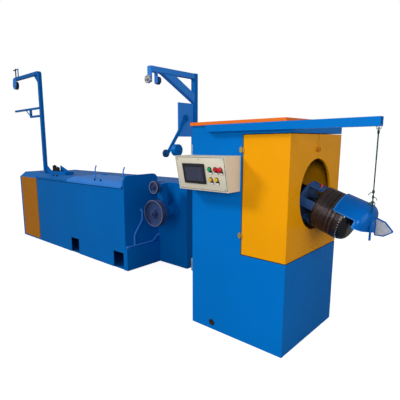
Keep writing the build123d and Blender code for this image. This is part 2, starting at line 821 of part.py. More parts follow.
# Guide wheels under the arm: one on a plate over the arm's end, one on a tongue
guide_z = arm_z0 - guide_drop
tongue_y = arm_y0 + tongue_inset
with BuildPart() as guide_brackets:
    with BuildSketch(facing_front(gantry_x, arm_y0, (guide_z - guide_foot + gantry_top) / 2)):
        RectangleRounded(gantry_tube, gantry_top - guide_z + guide_foot, 12)
    extrude(amount=guide_plate)
    with BuildSketch(facing_front(gantry_x, arm_y0 - guide_plate, guide_z)):
        Circle(guide_axle)
    extrude(amount=guide_gap + guide_width + 3)
    with BuildSketch(facing_front(gantry_x, tongue_y, (guide_z - guide_foot + arm_z0) / 2)):
        Rectangle(tongue_width, arm_z0 - guide_z + guide_foot)
    extrude(amount=guide_plate)
    with BuildSketch(facing_front(gantry_x, tongue_y, guide_z)):
        Circle(guide_axle)
    extrude(amount=-(guide_gap + guide_width + 3))
guide_brackets.part.label = "guide_brackets"
export_step(guide_brackets.part, "parts/guide_brackets.step")

front_place = facing_front(gantry_x, arm_y0 - guide_plate - guide_gap, guide_z)
guide_wheel_front = wheel(front_place, guide_radius, guide_width, guide_axle, 7, 5, 5)
guide_wheel_front.label = "guide_wheel_front"
export_step(guide_wheel_front, "parts/guide_wheel_front.step")

rear_place = Plane((gantry_x, tongue_y + guide_gap, guide_z), x_dir=(1, 0, 0), z_dir=(0, 1, 0))
guide_wheel_rear = wheel(rear_place, guide_radius, guide_width, guide_axle, 7, 5, 5)
guide_wheel_rear.label = "guide_wheel_rear"
export_step(guide_wheel_rear, "parts/guide_wheel_rear.step")

# Dancer plate on the post with the pivot pin, and the swinging arm with its weight
swing = radians(dancer_angle)
pivot_y = post_y0 - pivot_inset
pin_x = gantry_x + dancer_plate_sheet / 2
with BuildPart() as dancer_plate:
    with BuildSketch(facing_right(gantry_x, 0, 0)):
        Polygon(
            (post_y0, dancer_height - plate_below), (post_y0, dancer_height + plate_above),
            (post_y0 - plate_width, dancer_height + plate_above),
            (post_y0 - plate_width, dancer_height - plate_below), align=None)
    extrude(amount=dancer_plate_sheet / 2, both=True)
    with BuildSketch(facing_right(pin_x, pivot_y, dancer_height)):
        Circle(dancer_pin)
    extrude(amount=dancer_gap + dancer_sheet + 6)
dancer_plate.part.label = "dancer_plate"
export_step(dancer_plate.part, "parts/dancer_plate.step")

arm_face = Plane(
    (pin_x + dancer_gap, pivot_y, dancer_height),
    x_dir=(0, -sin(swing), -cos(swing)), z_dir=(1, 0, 0))
with BuildPart(arm_face) as dancer_arm:
    with BuildSketch(arm_face):
        with Locations((dancer_length / 2, 0)):
            SlotCenterToCenter(dancer_length, dancer_bar)
        Circle(dancer_bar)
        Circle(dancer_pin + run_gap, mode=Mode.SUBTRACT)
    extrude(amount=dancer_sheet)
    with BuildSketch(arm_face.offset(dancer_sheet)):
        with Locations((weight_place, 0)):
            Circle(dancer_pin)
    extrude(amount=weight_stand)
    with BuildSketch(arm_face.offset(dancer_sheet + weight_stand)):
        with Locations((weight_place, 0)):
            Circle(weight_radius)
    extrude(amount=weight_length)
    with BuildSketch(arm_face):
        with Locations((dancer_length, 0)):
            Circle(guide_axle)
    extrude(amount=-(guide_gap + guide_width + 3))
dancer_arm.part.label = "dancer_arm"
export_step(dancer_arm.part, "parts/dancer_arm.step")

roller_mid = Vector(
    pin_x + dancer_gap - guide_gap,
    pivot_y - dancer_length * sin(swing), dancer_height - dancer_length * cos(swing))
roller_place = Plane(roller_mid, x_dir=(0, 1, 0), z_dir=(-1, 0, 0))
dancer_roller = wheel(roller_place, dancer_roller_radius, guide_width, guide_axle, 7, 5, 5)
dancer_roller.label = "dancer_roller"
export_step(dancer_roller, "parts/dancer_roller.step")

# Inlet mast on the deck: one bent square tube with a gusset in its elbow
mast_x = tank_x0 + mast_back
mast_right = mast_x + mast_tube / 2
mast_left = mast_x - mast_tube / 2
tip_left = mast_left - mast_arm
mast_under = mast_top - mast_tube
with BuildPart() as inlet_mast:
    with BuildSketch(facing_front(0, mast_y, 0)) as mast_outline:
        Polygon(
            (mast_left, lid_top), (mast_right, lid_top), (mast_right, mast_top),
            (tip_left, mast_top), (tip_left, mast_under), (mast_left, mast_under), align=None)
        fillet(mast_outline.vertices().group_by(Axis.Z)[-1].sort_by(Axis.X)[-1], mast_tube * 0.9)
    extrude(amount=mast_tube / 2, both=True)
    with BuildSketch(facing_front(0, mast_y, 0)):
        Polygon(
            (mast_left, mast_under), (mast_left - mast_gusset, mast_under),
            (mast_left, mast_under - mast_gusset), align=None)
    extrude(amount=gusset_sheet / 2, both=True)
    with BuildSketch(facing_front(0, mast_y, 0)):
        Polygon(
            (mast_right, lid_top), (mast_right + foot_gusset, lid_top),
            (mast_right, lid_top + foot_gusset * 0.6), align=None)
    extrude(amount=gusset_sheet / 2, both=True)
inlet_mast.part.label = "inlet_mast"
export_step(inlet_mast.part, "parts/inlet_mast.step")

# Inlet wheel on a hanging plate at the arm's end, with two upright guide rods
inlet_x = tip_left + inlet_set
inlet_z = mast_under - inlet_drop
fork_y = mast_y - mast_tube / 2
fork_half = fork_width / 2
upright_x = tip_left + upright_inset
with BuildPart() as inlet_fork:
    with BuildSketch(facing_front(inlet_x, fork_y, 0)):
        Polygon(
            (-fork_half * 0.5, mast_top - 10), (fork_half * 0.6, mast_top - 10),
            (fork_half, mast_under), (fork_half, inlet_z), (fork_half * 0.45, inlet_z - fork_foot),
            (-fork_half * 0.45, inlet_z - fork_foot), (-fork_half, inlet_z), align=None)
    extrude(amount=fork_sheet)
    with BuildSketch(facing_front(inlet_x, fork_y, inlet_z)):
        Circle(inlet_axle)
    extrude(amount=-(inlet_gap + inlet_width + 3))
    for x in (upright_x, upright_x + upright_pitch):
        with BuildSketch(Plane((x, mast_y, mast_top))):
            Circle(upright_radius)
        extrude(amount=upright)
    with BuildSketch(facing_right(upright_x - cross_over, mast_y, mast_top + upright - upright_radius)):
        Circle(upright_radius - 1)
    extrude(amount=cross_bar)
inlet_fork.part.label = "inlet_fork"
export_step(inlet_fork.part, "parts/inlet_fork.step")

inlet_place = Plane((inlet_x, fork_y + inlet_gap, inlet_z), x_dir=(1, 0, 0), z_dir=(0, 1, 0))
inlet_wheel = wheel(inlet_place, inlet_radius, inlet_width, inlet_axle, 9, 6, 6)
inlet_wheel.label = "inlet_wheel"
export_step(inlet_wheel, "parts/inlet_wheel.step")

# Wire guide bars half way up the mast
with BuildPart() as guide_bars:
    with BuildSketch(facing_right(mast_left, mast_y, guide_bar_height)):
        Rectangle(guide_bar, guide_bar)
    extrude(amount=-long_bar)
    with BuildSketch(facing_right(mast_left, mast_y, guide_bar_height - bar_pitch)):
        Rectangle(guide_bar, guide_bar)
    extrude(amount=-short_bar)
    with BuildSketch(Plane((mast_left - short_bar + guide_bar / 2, mast_y, guide_bar_height))):
        Rectangle(guide_bar, guide_bar)
    extrude(amount=-bar_pitch)
guide_bars.part.label = "guide_bars"
export_step(guide_bars.part, "parts/guide_bars.step")

# Inlet trough on the deck with wedge cheek and black guide rollers
trough_x0 = mast_right + foot_gusset + trough_gap
trough_x1 = trough_x0 + trough_length
with BuildPart() as inlet_trough:
    with BuildSketch(facing_right(trough_x0, mast_y, lid_top)):
        Rectangle(trough_width, trough_height, align=(Align.CENTER, Align.MIN))
    extrude(amount=trough_length)
    with BuildSketch(facing_front(0, mast_y + wedge_sheet, lid_top + trough_height)):
        Polygon(
            (trough_x1, 0), (trough_x1 - wedge_length, 0), (trough_x1 - wedge_length, wedge_height),
            align=None)
    extrude(amount=wedge_sheet)
inlet_trough.part.label = "inlet_trough"
export_step(inlet_trough.part, "parts/inlet_trough.step")

roller_z = lid_top + trough_height
roller_x = trough_x0 + roller_start
with BuildPart() as inlet_rollers:
    for x, tall in (
            (roller_x, roller_tall), (roller_x + roller_pitch, 0.7 * roller_tall)):
        with BuildSketch(Plane((x, mast_y - roller_stand, roller_z))):
            Circle(roller_radius)
        extrude(amount=tall)
inlet_rollers.part.label = "inlet_rollers"
export_step(inlet_rollers.part, "parts/inlet_rollers.step")
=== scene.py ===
import json
from math import atan2, cos, pi, radians, sin, tan

import bmesh
import bpy
from bpy.props import FloatProperty, FloatVectorProperty, PointerProperty
from bpy.types import Operator, Panel, PropertyGroup
from mathutils import Matrix, Vector


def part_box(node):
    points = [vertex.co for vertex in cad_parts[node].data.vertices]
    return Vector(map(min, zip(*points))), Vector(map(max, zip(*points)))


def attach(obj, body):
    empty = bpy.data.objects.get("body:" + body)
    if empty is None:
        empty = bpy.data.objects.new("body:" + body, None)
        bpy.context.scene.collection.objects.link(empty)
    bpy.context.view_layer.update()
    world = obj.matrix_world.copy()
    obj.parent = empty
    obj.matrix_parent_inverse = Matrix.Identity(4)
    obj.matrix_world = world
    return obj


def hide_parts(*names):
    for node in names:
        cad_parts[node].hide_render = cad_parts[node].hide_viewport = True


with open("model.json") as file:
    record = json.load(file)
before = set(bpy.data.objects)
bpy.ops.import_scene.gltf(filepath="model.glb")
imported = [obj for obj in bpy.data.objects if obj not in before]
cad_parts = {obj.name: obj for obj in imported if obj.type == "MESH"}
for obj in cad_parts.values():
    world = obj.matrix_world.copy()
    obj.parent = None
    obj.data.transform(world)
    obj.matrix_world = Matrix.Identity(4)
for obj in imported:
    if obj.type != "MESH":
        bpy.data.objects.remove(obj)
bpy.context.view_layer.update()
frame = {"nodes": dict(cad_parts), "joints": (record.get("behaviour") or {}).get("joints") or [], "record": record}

bl_info = {
    "name": "Wire drawing machine dresser",
    "version": (1, 0, 0),
    "blender": (4, 5, 0),
    "location": "View3D > Sidebar > Wire machine",
    "description": "Fittings, finishes and stage of the wet wire drawing machine",
    "category": "Object",
}

MM = 0.001
UP = Vector((0, 0, 1))
FRONT = Vector((0, -1, 0))
BACK = Vector((0, 1, 0))
RIGHT = Vector((1, 0, 0))
LEFT = Vector((-1, 0, 0))
NUT_CHAMFER = 0.002
NUT_GAP = 0.003
FOOT_PLATE = 0.010
WHITE = (1, 1, 1, 1)

# Finish and material slot of the fittings that share them
BLUE = "blue enamel", "blue_paint"
# SHEEN_LIT_BLUE is a lighter copy of the blue enamel: a painted sheen on the pieces that look paler in the light.
SHEEN_LIT_BLUE = "pale blue enamel", "blue_paint"
OCHRE = "ochre enamel", "yellow_paint"
ZINC = "zinc plate", "worn_steel"
HINGE = "passivated zinc", "worn_steel"
STEEL = "turned steel", "worn_steel"
RUBBER = "black rubber", "black_rubber"
BEZEL = "screen bezel", "screen_black"
RED = "red button", "red_plastic"


def linear(code):
    """A colour written as sRGB hex, as the linear values that shaders take."""
    parts = [int(code[i:i + 2], 16) / 255 for i in (0, 2, 4)]
    return tuple(p / 12.92 if p <= 0.04045 else ((p + 0.055) / 1.055) ** 2.4 for p in parts)


def joint(name):
    """The record's joint of that name."""
    return next(j for j in frame["joints"] if j["name"] == name)


def corners(node):
    """Lowest and highest corner of a CAD node."""
    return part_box(node)


AXIS_FOOT = Vector(joint("drum_spin")["pos_m"])
AXIS = Vector(joint("drum_spin")["axis"]).normalized()
AXIS_UP = Vector((-AXIS.z, 0, AXIS.x))


def on_axis(along, up=0.0, side=0.0):
    """A point by its distance along the drum's axis, up from it and to the back of it."""
    return AXIS_FOOT + AXIS * along + AXIS_UP * up + BACK * side


def round_axis(along, radius, angle):
    """A point round the drum's axis, the angle counted from the top towards the front."""
    return on_axis(along, radius * cos(angle), -radius * sin(angle))


def colour(name, description, code):
    """A colour property whose default is an sRGB hex value."""
    return FloatVectorProperty(
        name=name, description=description, subtype="COLOR", size=3, min=0, max=1, default=linear(code))


def number(name, description, value, **limits):
    """A number property, with its limits and its kind."""
    return FloatProperty(name=name, description=description, default=value, **limits)


def length(name, description, value):
    """A length property in metres."""
    return number(name, description, value, min=0, subtype="DISTANCE", unit="LENGTH")


class WIRE_PG_colours(PropertyGroup):
    """Finishes of the machine"""
    blue: colour("Blue", "Enamel of the housings and the tank", "006cbf")
    # This lighter blue stands for the sheen and haze of the light on the lid and the gantry's arm: a painted
    # sheen.
    pale: colour("Pale blue", "Enamel of the gantry's arm and the lid, bleached by the light", "3a8ae6")
    yellow: colour("Yellow", "Enamel of the guards", "e79a05")
    ochre: colour("Ochre", "Older enamel of the inlet panel", "bd7505")
    orange: colour("Orange", "Enamel of the cabinet's cover plate", "e8701f")
    beige: colour("Beige", "Powder coat of the control box", "d6cfbc")
    black: colour("Black", "Gloss enamel of the drum's nose", "110f12")
    wire: colour("Wire", "Drawn wire with its soap film", "4a4142")
    steel: colour("Steel", "Turned and worn steel of the wheels", "3f5c94")
    bare: colour("Zinc", "Zinc plated bolts and hinges", "b9bcc2")
    rope: colour("Rope", "Green fibre rope", "1b4a3c")
    sheet: colour("Sheet", "Pale grey plate in the nose ring", "b9bcc6")
    screen: colour("Screen", "Dark glass of the operator screen", "3c3f52")
    green_cap: colour("Green", "Start button", "12a05a")
    red_cap: colour("Red", "Stop buttons", "c3202c")
    yellow_cap: colour("Amber", "Jog buttons", "e0b030")
    plate: colour("Plate", "Blank legend plates", "e6e6e2")
    rubber: colour("Rubber", "Rubber and dark moulded pieces", "1d1f24")


class WIRE_PG_sizes(PropertyGroup):
    """Sizes of the fittings"""
    hinge: length("Hinge barrel", "Radius of the guard hinges", 0.006)
    hinge_length: length("Hinge length", "Length of a guard hinge", 0.038)
    bolt: length("Bolt head", "Half width of a common bolt head", 0.010)
    screw: length("Panel screw", "Radius of a small panel screw", 0.006)
    # The strips are thin black rubber: a painted shade for the gaps round the guard doors.
    seal: length("Seal", "Width of the rubber seals round the guard doors' bay", 0.018)
    bead: length("Weld bead", "Radius of the fillet welds", 0.006)
    wire: length("Wire", "Diameter of the drawn wire", 0.005)
    rope: length("Rope", "Diameter of the stay rope", 0.008)
    panel_lean: length("Panel lean", "How much further the control panel stands out at its top", 0.057)
    rim: length("Trunk rim", "Radius of the rolled rim of the trunk", 0.003)
    coil_start: length("Coil start", "Where the coil begins, past the mouth of the bay", 0.047)
    coil_end: length("Coil end", "Where the coil ends, past the mouth of the bay", 0.233)
    coil: length("Coil radius", "Radius over the wound wire", 0.153)
    drum: length("Drum radius", "Radius of the drum under the wire", 0.148)
    trunk_start: length("Trunk start", "Where the trunk begins, past the mouth of the bay", 0.176)
    hood_start: length("Hood start", "Where the trunk widens into its hood", 0.325)
    hood_shoulder: length("Hood shoulder", "Where the hood begins to close", 0.376)
    trunk_tip: length("Trunk tip", "Where the hood ends on the axis", 0.431)
    trunk: length("Trunk radius", "Outer radius of the trunk", 0.162)
    hood_round: length("Hood round", "Radius of the hood's shoulder", 0.066)


class WIRE_PG_stage(PropertyGroup):
    """Camera and light"""
    eye: FloatVectorProperty(
        name="Eye", description="Place of the camera", subtype="XYZ", unit="LENGTH", size=3,
        default=(1.502, -2.609, 1.475))
    turn: number("Turn", "Camera's turn about the upright", radians(44.12), subtype="ANGLE")
    dip: number("Dip", "How far the camera looks down", radians(9.97), subtype="ANGLE")
    roll: number("Roll", "Camera's roll", radians(-0.57), subtype="ANGLE")
    lens: number("Lens", "Focal length in millimetres", 33.27, min=1)
    shift_x: number("Shift X", "Framing to the side", 0.0675)
    shift_y: number("Shift Y", "Framing upwards", 0.0193)
    key: number("Key", "Strength of the high light from the left", 1.7, min=0)
    fill: number("Fill", "Power of the fill light", 98, min=0, subtype="POWER")
    front: number("Front", "Power of the lamp by the camera", 26, min=0, subtype="POWER")
    wide: number("Wide", "Power of the wide front light", 50, min=0, subtype="POWER")
    room: number("Room", "Strength of the light from all round", 0.27, min=0)
    floor_grey: number("Floor grey", "How much light the floor throws back", 0.25, min=0, max=1)
    floor_glow: number("Floor glow", "How white the floor looks to the camera", 0.93, min=0)


# Modelling moves

def clear():
    """Leaves nothing selected, so that the next move acts on new work only."""
    if bpy.context.object and bpy.context.object.mode != "OBJECT":
        bpy.ops.object.mode_set(mode="OBJECT")
    bpy.ops.object.select_all(action="DESELECT")


def only(piece):
    """Leaves one piece selected and active, in object mode."""
    clear()
    piece.select_set(True)
    bpy.context.view_layer.objects.active = piece


def pick_faces(piece, test):
    """In edit mode, selects the faces whose middle and normal pass the test."""
    bpy.ops.mesh.select_mode(type="FACE")
    bpy.ops.mesh.select_all(action="DESELECT")
    mesh = bmesh.from_edit_mesh(piece.data)
    for face in mesh.faces:
        face.select_set(bool(test(face.calc_center_median(), face.normal)))
    mesh.select_flush_mode()
    bmesh.update_edit_mesh(piece.data)


def face_out(piece):
    """Turns all faces of a piece outwards."""
    only(piece)
    bpy.ops.object.mode_set(mode="EDIT")
    bpy.ops.mesh.select_all(action="SELECT")
    bpy.ops.mesh.normals_make_consistent(inside=False)
    bpy.ops.object.mode_set(mode="OBJECT")
    return piece


def settle(piece):
    """Puts the object's place, turn and size into its mesh."""
    only(piece)
    bpy.ops.object.transform_apply(location=True, rotation=True, scale=True)
    piece.rotation_mode = "XYZ"
    return piece


def lay(piece, place, along):
    """Takes a piece that was drawn upright at the origin to its place, upright along a direction."""
    piece.rotation_mode = "QUATERNION"
    piece.rotation_quaternion = Vector(along).to_track_quat("Z", "Y")
    piece.location = place
    return settle(piece)


def axes_at(x, y, z, origin):
    """The matrix with three directions as its axes and a place as its origin."""
    made = Matrix((x, y, z)).transposed().to_4x4()
    made.translation = origin
    return made


def lay_on(piece, origin, x, y):
    """Takes a piece that was drawn flat at the origin onto a plane given by two directions."""
    piece.matrix_world = axes_at(x, y, x.cross(y), origin)
    return settle(piece)


def named(name):
    """Names the active object and its mesh."""
    piece = bpy.context.object
    piece.name = piece.data.name = name
    return piece


def turned(name, steps, sides=32, place=(0, 0, 0), along=(0, 0, 1), hollow=False):
    """A turned piece: a disc drawn out step by step, each step a height and a radius. A hollow
    one is a ring, and its steps go once round its section."""
    clear()
    height, radius = steps[0]
    bpy.ops.mesh.primitive_circle_add(
        vertices=sides, radius=radius, fill_type="NOTHING" if hollow else "NGON", location=(0, 0, height))
    piece = settle(named(name))
    bpy.ops.object.mode_set(mode="EDIT")
    bpy.ops.mesh.select_mode(type="VERT")
    bpy.ops.mesh.select_all(action="SELECT")
    for h, r in [*steps[1:], *(steps[:1] if hollow else ())]:
        bpy.ops.mesh.extrude_region_move(TRANSFORM_OT_translate={"value": (0, 0, h - height)})
        bpy.ops.transform.resize(value=(r / radius, r / radius, 1), center_override=(0, 0, h))
        height, radius = h, r
    if hollow:
        bpy.ops.mesh.select_all(action="SELECT")
        bpy.ops.mesh.remove_doubles(threshold=1e-6)
    return lay(face_out(piece), place, along)


def block(name, low, high, soft=0.0015, segments=2):
    """A bar or plate between two corners with its edges rounded over."""
    clear()
    low, high = Vector(low), Vector(high)
    bpy.ops.mesh.primitive_cube_add(size=1, location=(low + high) / 2)
    piece = named(name)
    piece.scale = high - low
    settle(piece)
    bpy.ops.object.mode_set(mode="EDIT")
    bpy.ops.mesh.select_all(action="SELECT")
    bpy.ops.mesh.bevel(offset=soft, offset_type="OFFSET", segments=segments, affect="EDGES")
    bpy.ops.object.mode_set(mode="OBJECT")
    return piece


def drawn_rod(name, points, radius, closed=False):
    """A bent rod: a smooth path through its points with a round section, made a mesh."""
    clear()
    bpy.ops.curve.primitive_nurbs_path_add()
    piece = named(name)
    curve = piece.data
    curve.splines.clear()
    line = curve.splines.new("NURBS")
    line.points.add(len(points) - 1)
    for spot, point in zip(line.points, points):
        spot.co = (*point, 1)
    line.order_u = 3
    line.use_endpoint_u = not closed
    line.use_cyclic_u = closed
    line.resolution_u = 6
    curve.dimensions = "3D"
    curve.bevel_depth = radius
    curve.bevel_resolution = 4
    curve.use_fill_caps = not closed
    only(piece)
    bpy.ops.object.convert(target="MESH")
    return settle(bpy.context.object)


def screwed(piece, rise, turns, steps):
    """Winds a section upwards round the upright, turn by turn."""
    only(piece)
    bpy.ops.object.modifier_add(type="SCREW")
    wind = piece.modifiers[-1]
    wind.angle = 2 * pi
    wind.steps = wind.render_steps = steps
    wind.screw_offset = rise
    wind.iterations = turns
    wind.use_merge_vertices = True
    bpy.ops.object.modifier_apply(modifier=wind.name)
    return face_out(piece)


def joined(name, pieces):
    """Joins pieces of one body and one kind."""
    only(pieces[0])
    for piece in pieces:
        piece.select_set(True)
    if len(pieces) > 1:
        bpy.ops.object.join()
    return named(name)


def spread(name, model, spots):
    """Copies a model to every spot, a point and the direction it faces, and joins the copies."""
    pieces = []
    for point, along in spots:
        only(model)
        bpy.ops.object.duplicate(linked=False)
        pieces.append(lay(bpy.context.object, point, along))
    bpy.data.objects.remove(model)
    return joined(name, pieces)


def hex_bolt(size):
    """A bolt with its washer: a chamfered six-sided head on a flat ring."""
    washer = turned("washer", ((0, 1.5 * size), (0.22 * size, 1.5 * size), (0.26 * size, 1.4 * size)), 20)
    head = turned("head", (
        (0.26 * size, 1.12 * size), (0.86 * size, 1.12 * size), (1.0 * size, 0.92 * size)), 6)
    return joined("bolt", [washer, head])


def pan_screw(size):
    """A small domed screw."""
    return turned("screw", (
        (0, size), (0.35 * size, size), (0.6 * size, 0.8 * size), (0.7 * size, 0.4 * size)), 14)


def flanged_nut(name, place, along, flange, thick, head, tall, top):
    """A six-sided nut: radius and height of its flange and of its head, and the radius of its top."""
    return turned(name, (
        (0, flange), (thick, flange), (thick, head), (tall, head), (tall + NUT_CHAMFER, top)), 6,
        place, along)


def weld(start, end, size):
    """A fillet weld: one ripple, repeated along the seam."""
    start = Vector(start)
    run = Vector(end) - start
    pitch = 1.1 * size
    piece = turned("bead", (
        (0, 0.72 * size), (0.3 * pitch, 0.95 * size), (0.6 * pitch, size), (pitch, 0.72 * size)), 8)
    bpy.ops.object.modifier_add(type="ARRAY")
    rows = piece.modifiers[-1]
    rows.use_relative_offset = False
    rows.use_constant_offset = True
    rows.constant_offset_displace = (0, 0, pitch)
    rows.count = max(2, int(run.length / pitch))
    rows.use_merge_vertices = True
    bpy.ops.object.modifier_apply(modifier=rows.name)
    return lay(piece, start, run)


def dress(piece, look, body="frame", *nodes):
    """Gives a piece its finish and the body that it rides on, and hides what it stands for. The slot in the look
    is not used.
    """
    finish, slot = look
    if finish:
        piece.data.materials.clear()
        piece.data.materials.append(bpy.data.materials[finish])
    only(piece)
    bpy.ops.object.shade_smooth_by_angle(angle=radians(35))
    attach(piece, body)
    if nodes:
        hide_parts(*nodes)


def footing(name, s, tube, reach, bolts, cap):
    """Foot plate of an upright tube, joined to the tube's cap, and its four bolts. Gives the welds
    round the tube's foot."""
    x0, x1, y0, y1, z = tube
    top = z + FOOT_PLATE
    foot = block(
        name + "_foot", (x0 - reach[0], y0 - reach[1], z), (x1 + reach[0], y1 + reach[1], top), 0.002)
    dress(joined(name + "_foot", [foot, cap]), BLUE)
    dress(spread(name + "_bolts", hex_bolt(s.bolt), [
        ((x, y, top), UP) for x in (x0 - bolts[0], x1 + bolts[0])
        for y in (y0 - bolts[1], y1 + bolts[1])]), ZINC)
    return [weld((xa, ya, top), (xb, yb, top), s.bead) for xa, ya, xb, yb in (
        (x0, y0, x1, y0), (x0, y1, x1, y1), (x0, y0, x0, y1), (x1, y0, x1, y1))]


# Finishes

def add(tree, kind, values=None, links=None, into=None, **fields):
    """Adds a shader node, sets its fields and inputs, links its inputs to other nodes or to outputs
    of theirs, and its own first output into another node."""
    made = tree.nodes.new("ShaderNode" + kind)
    for field, value in fields.items():
        setattr(made, field, value)
    for socket, value in (values or {}).items():
        made.inputs[socket].default_value = value
    for socket, source in (links or {}).items():
        tree.links.new(getattr(source, "outputs", [source])[0], made.inputs[socket])
    if into:
        tree.links.new(made.outputs[0], into.inputs[0])
    return made


def blank(name):
    """An empty material with its output and its object coordinates."""
    material = bpy.data.materials.new(name)
    material.use_nodes = True
    tree = material.node_tree
    tree.nodes.clear()
    out = add(tree, "OutputMaterial")
    place = add(tree, "TexCoord").outputs["Object"]
    return tree, out, place


def per_mm(size):
    """Noise scale for a pattern whose spots are so many millimetres wide."""
    return 1 / (size * MM)


def shade(base, factor):
    """A lighter or darker cast of a colour."""
    return (*[min(1.0, c * factor) for c in base], 1)


def enamel(name, base, under, rough, gloss, tint=(1, 1, 1), peel=6.0, cloud=450.0, wear=0.25):
    """Sprayed enamel on sheet steel: smooth colour with slow cloudiness from the spray passes,
    a faint orange peel that breaks up reflections, dull rubbed patches and chips along edges."""
    tree, out, place = blank(name)
    clouds = add(tree, "TexNoise", {
        "Scale": per_mm(cloud), "Detail": 3.0, "Roughness": 0.5}, {"Vector": place})
    tone = add(tree, "Mix", {6: shade(base, 0.90), 7: shade(base, 1.08)}, {0: clouds}, data_type="RGBA")
    rubs = add(tree, "TexNoise", {
        "Scale": per_mm(38), "Detail": 7.0, "Roughness": 0.68}, {"Vector": place})
    bent = add(tree, "Bevel", {"Radius": 2.5 * MM}, samples=4)
    flat = add(tree, "NewGeometry")
    edge = add(tree, "VectorMath", {}, {0: bent, 1: flat.outputs["Normal"]}, operation="DOT_PRODUCT")
    near = add(tree, "MapRange", {1: 0.995, 2: 0.86, 3: 0.0, 4: 1.0}, {0: edge.outputs["Value"]})
    torn = add(tree, "MapRange", {1: 0.50, 2: 0.62, 3: 0.0, 4: wear}, {0: rubs})
    chip = add(tree, "Math", {}, {0: near, 1: torn}, operation="MULTIPLY")
    skin = add(tree, "Mix", {7: (*under, 1)}, {0: chip, 6: tone.outputs[2]}, data_type="RGBA")
    dull = add(tree, "MapRange", {1: 0.35, 2: 0.72, 3: rough - 0.05, 4: rough + 0.12}, {0: rubs})
    # Real orange peel has spots of 1 to 3 mm. They are drawn coarser so that they show.
    skinned = add(tree, "TexNoise", {"Scale": per_mm(peel), "Detail": 1.0}, {"Vector": place})
    bump = add(tree, "Bump", {"Strength": 0.03, "Distance": 0.2 * MM}, {"Height": skinned})
    add(tree, "BsdfPrincipled", {
        "Specular IOR Level": gloss, "IOR": 1.5, "Specular Tint": (*tint, 1)}, {
        "Base Color": skin.outputs[2], "Roughness": dull, "Normal": bump}, into=out)


def turned_steel(name, base, rough, metal, streak):
    """Turned steel: grey metal with a cloudy oil film, brown where it has run dry, and fine
    scratches that stretch the highlights."""
    tree, out, place = blank(name)
    film = add(tree, "TexNoise", {"Scale": per_mm(40), "Detail": 5.0, "Roughness": 0.6}, {
        "Vector": place})
    dry = add(tree, "MapRange", {1: 0.42, 2: 0.68, 3: 0.0, 4: streak}, {0: film})
    tone = add(tree, "Mix", {6: (*base, 1), 7: (*linear("6b5139"), 1)}, {0: dry}, data_type="RGBA")
    # Turning marks are well under 1 mm apart. They are drawn at 3 mm so that they show.
    scratches = add(tree, "TexNoise", {"Scale": per_mm(3), "Detail": 3.0}, {"Vector": place})
    dull = add(tree, "MapRange", {1: 0.3, 2: 0.7, 3: rough - 0.08, 4: rough + 0.14}, {0: scratches})
    bump = add(tree, "Bump", {"Strength": 0.12, "Distance": 0.3 * MM}, {"Height": scratches})
    add(tree, "BsdfPrincipled", {"Metallic": metal}, {
        "Base Color": tone.outputs[2], "Roughness": dull, "Normal": bump}, into=out)


def drawn_wire(name, base):
    """Drawn wire with its dry soap film: brown grey metal, the turns of each pass a shade apart,
    with bright lines where the film has rubbed off."""
    tree, out, place = blank(name)
    along = add(tree, "VectorMath", {1: tuple(AXIS)}, {0: place}, operation="DOT_PRODUCT")
    passes = add(tree, "TexNoise", {"Scale": per_mm(14), "Detail": 4.0}, {
        "W": along.outputs["Value"]}, noise_dimensions="1D")
    spots = add(tree, "TexNoise", {"Scale": per_mm(30), "Detail": 5.0}, {"Vector": place})
    rubbed = add(tree, "MapRange", {1: 0.35, 2: 0.65, 3: 0.0, 4: 1.0}, {0: passes})
    tone = add(tree, "Mix", {6: shade(base, 0.35), 7: shade(base, 1.9)}, {0: rubbed}, data_type="RGBA")
    dull = add(tree, "MapRange", {1: 0.3, 2: 0.7, 3: 0.2, 4: 0.45}, {0: spots})
    add(tree, "BsdfPrincipled", {"Metallic": 0.7}, {
        "Base Color": tone.outputs[2], "Roughness": dull}, into=out)


def moulded(name, base, rough, gloss=0.4):
    """Moulded plastic or rubber: even colour, a fine grain from the mould and slightly dulled patches."""
    tree, out, place = blank(name)
    # A mould's grain is a few tenths of a millimetre. It is drawn coarser so that it shows close up.
    grains = add(tree, "TexNoise", {"Scale": per_mm(1.2), "Detail": 2.0}, {"Vector": place})
    hands = add(tree, "TexNoise", {"Scale": per_mm(18), "Detail": 4.0}, {"Vector": place})
    tone = add(tree, "Mix", {6: shade(base, 0.88), 7: shade(base, 1.10)}, {0: hands}, data_type="RGBA")
    dull = add(tree, "MapRange", {1: 0.3, 2: 0.7, 3: rough - 0.06, 4: rough + 0.08}, {0: hands})
    bump = add(tree, "Bump", {"Strength": 0.1, "Distance": 0.2 * MM}, {"Height": grains})
    add(tree, "BsdfPrincipled", {"Specular IOR Level": gloss}, {
        "Base Color": tone.outputs[2], "Roughness": dull, "Normal": bump}, into=out)


def screen_glass(name, base):
    """Touch screen glass: near black with a blue cast, smooth, with a faint film of finger marks."""
    tree, out, place = blank(name)
    marks = add(tree, "TexNoise", {"Scale": per_mm(25), "Detail": 5.0}, {"Vector": place})
    tone = add(tree, "Mix", {6: shade(base, 0.85), 7: shade(base, 1.1)}, {0: marks}, data_type="RGBA")
    dull = add(tree, "MapRange", {1: 0.4, 2: 0.7, 3: 0.12, 4: 0.3}, {0: marks})
    add(tree, "BsdfPrincipled", {"Specular IOR Level": 0.35, "IOR": 1.5}, {
        "Base Color": tone.outputs[2], "Roughness": dull}, into=out)


def fibre_rope(name, base):
    """Laid fibre rope: matt, flecked with paler fibres along the strands and darker where it is dirty."""
    tree, out, place = blank(name)
    flecks = add(tree, "TexNoise", {"Scale": per_mm(2), "Detail": 3.0}, {"Vector": place})
    tone = add(tree, "Mix", {6: shade(base, 0.6), 7: shade(base, 1.6)}, {0: flecks}, data_type="RGBA")
    bump = add(tree, "Bump", {"Strength": 0.4, "Distance": 0.6 * MM}, {"Height": flecks})
    add(tree, "BsdfPrincipled", {"Roughness": 0.85, "Specular IOR Level": 0.15}, {
        "Base Color": tone.outputs[2], "Normal": bump}, into=out)


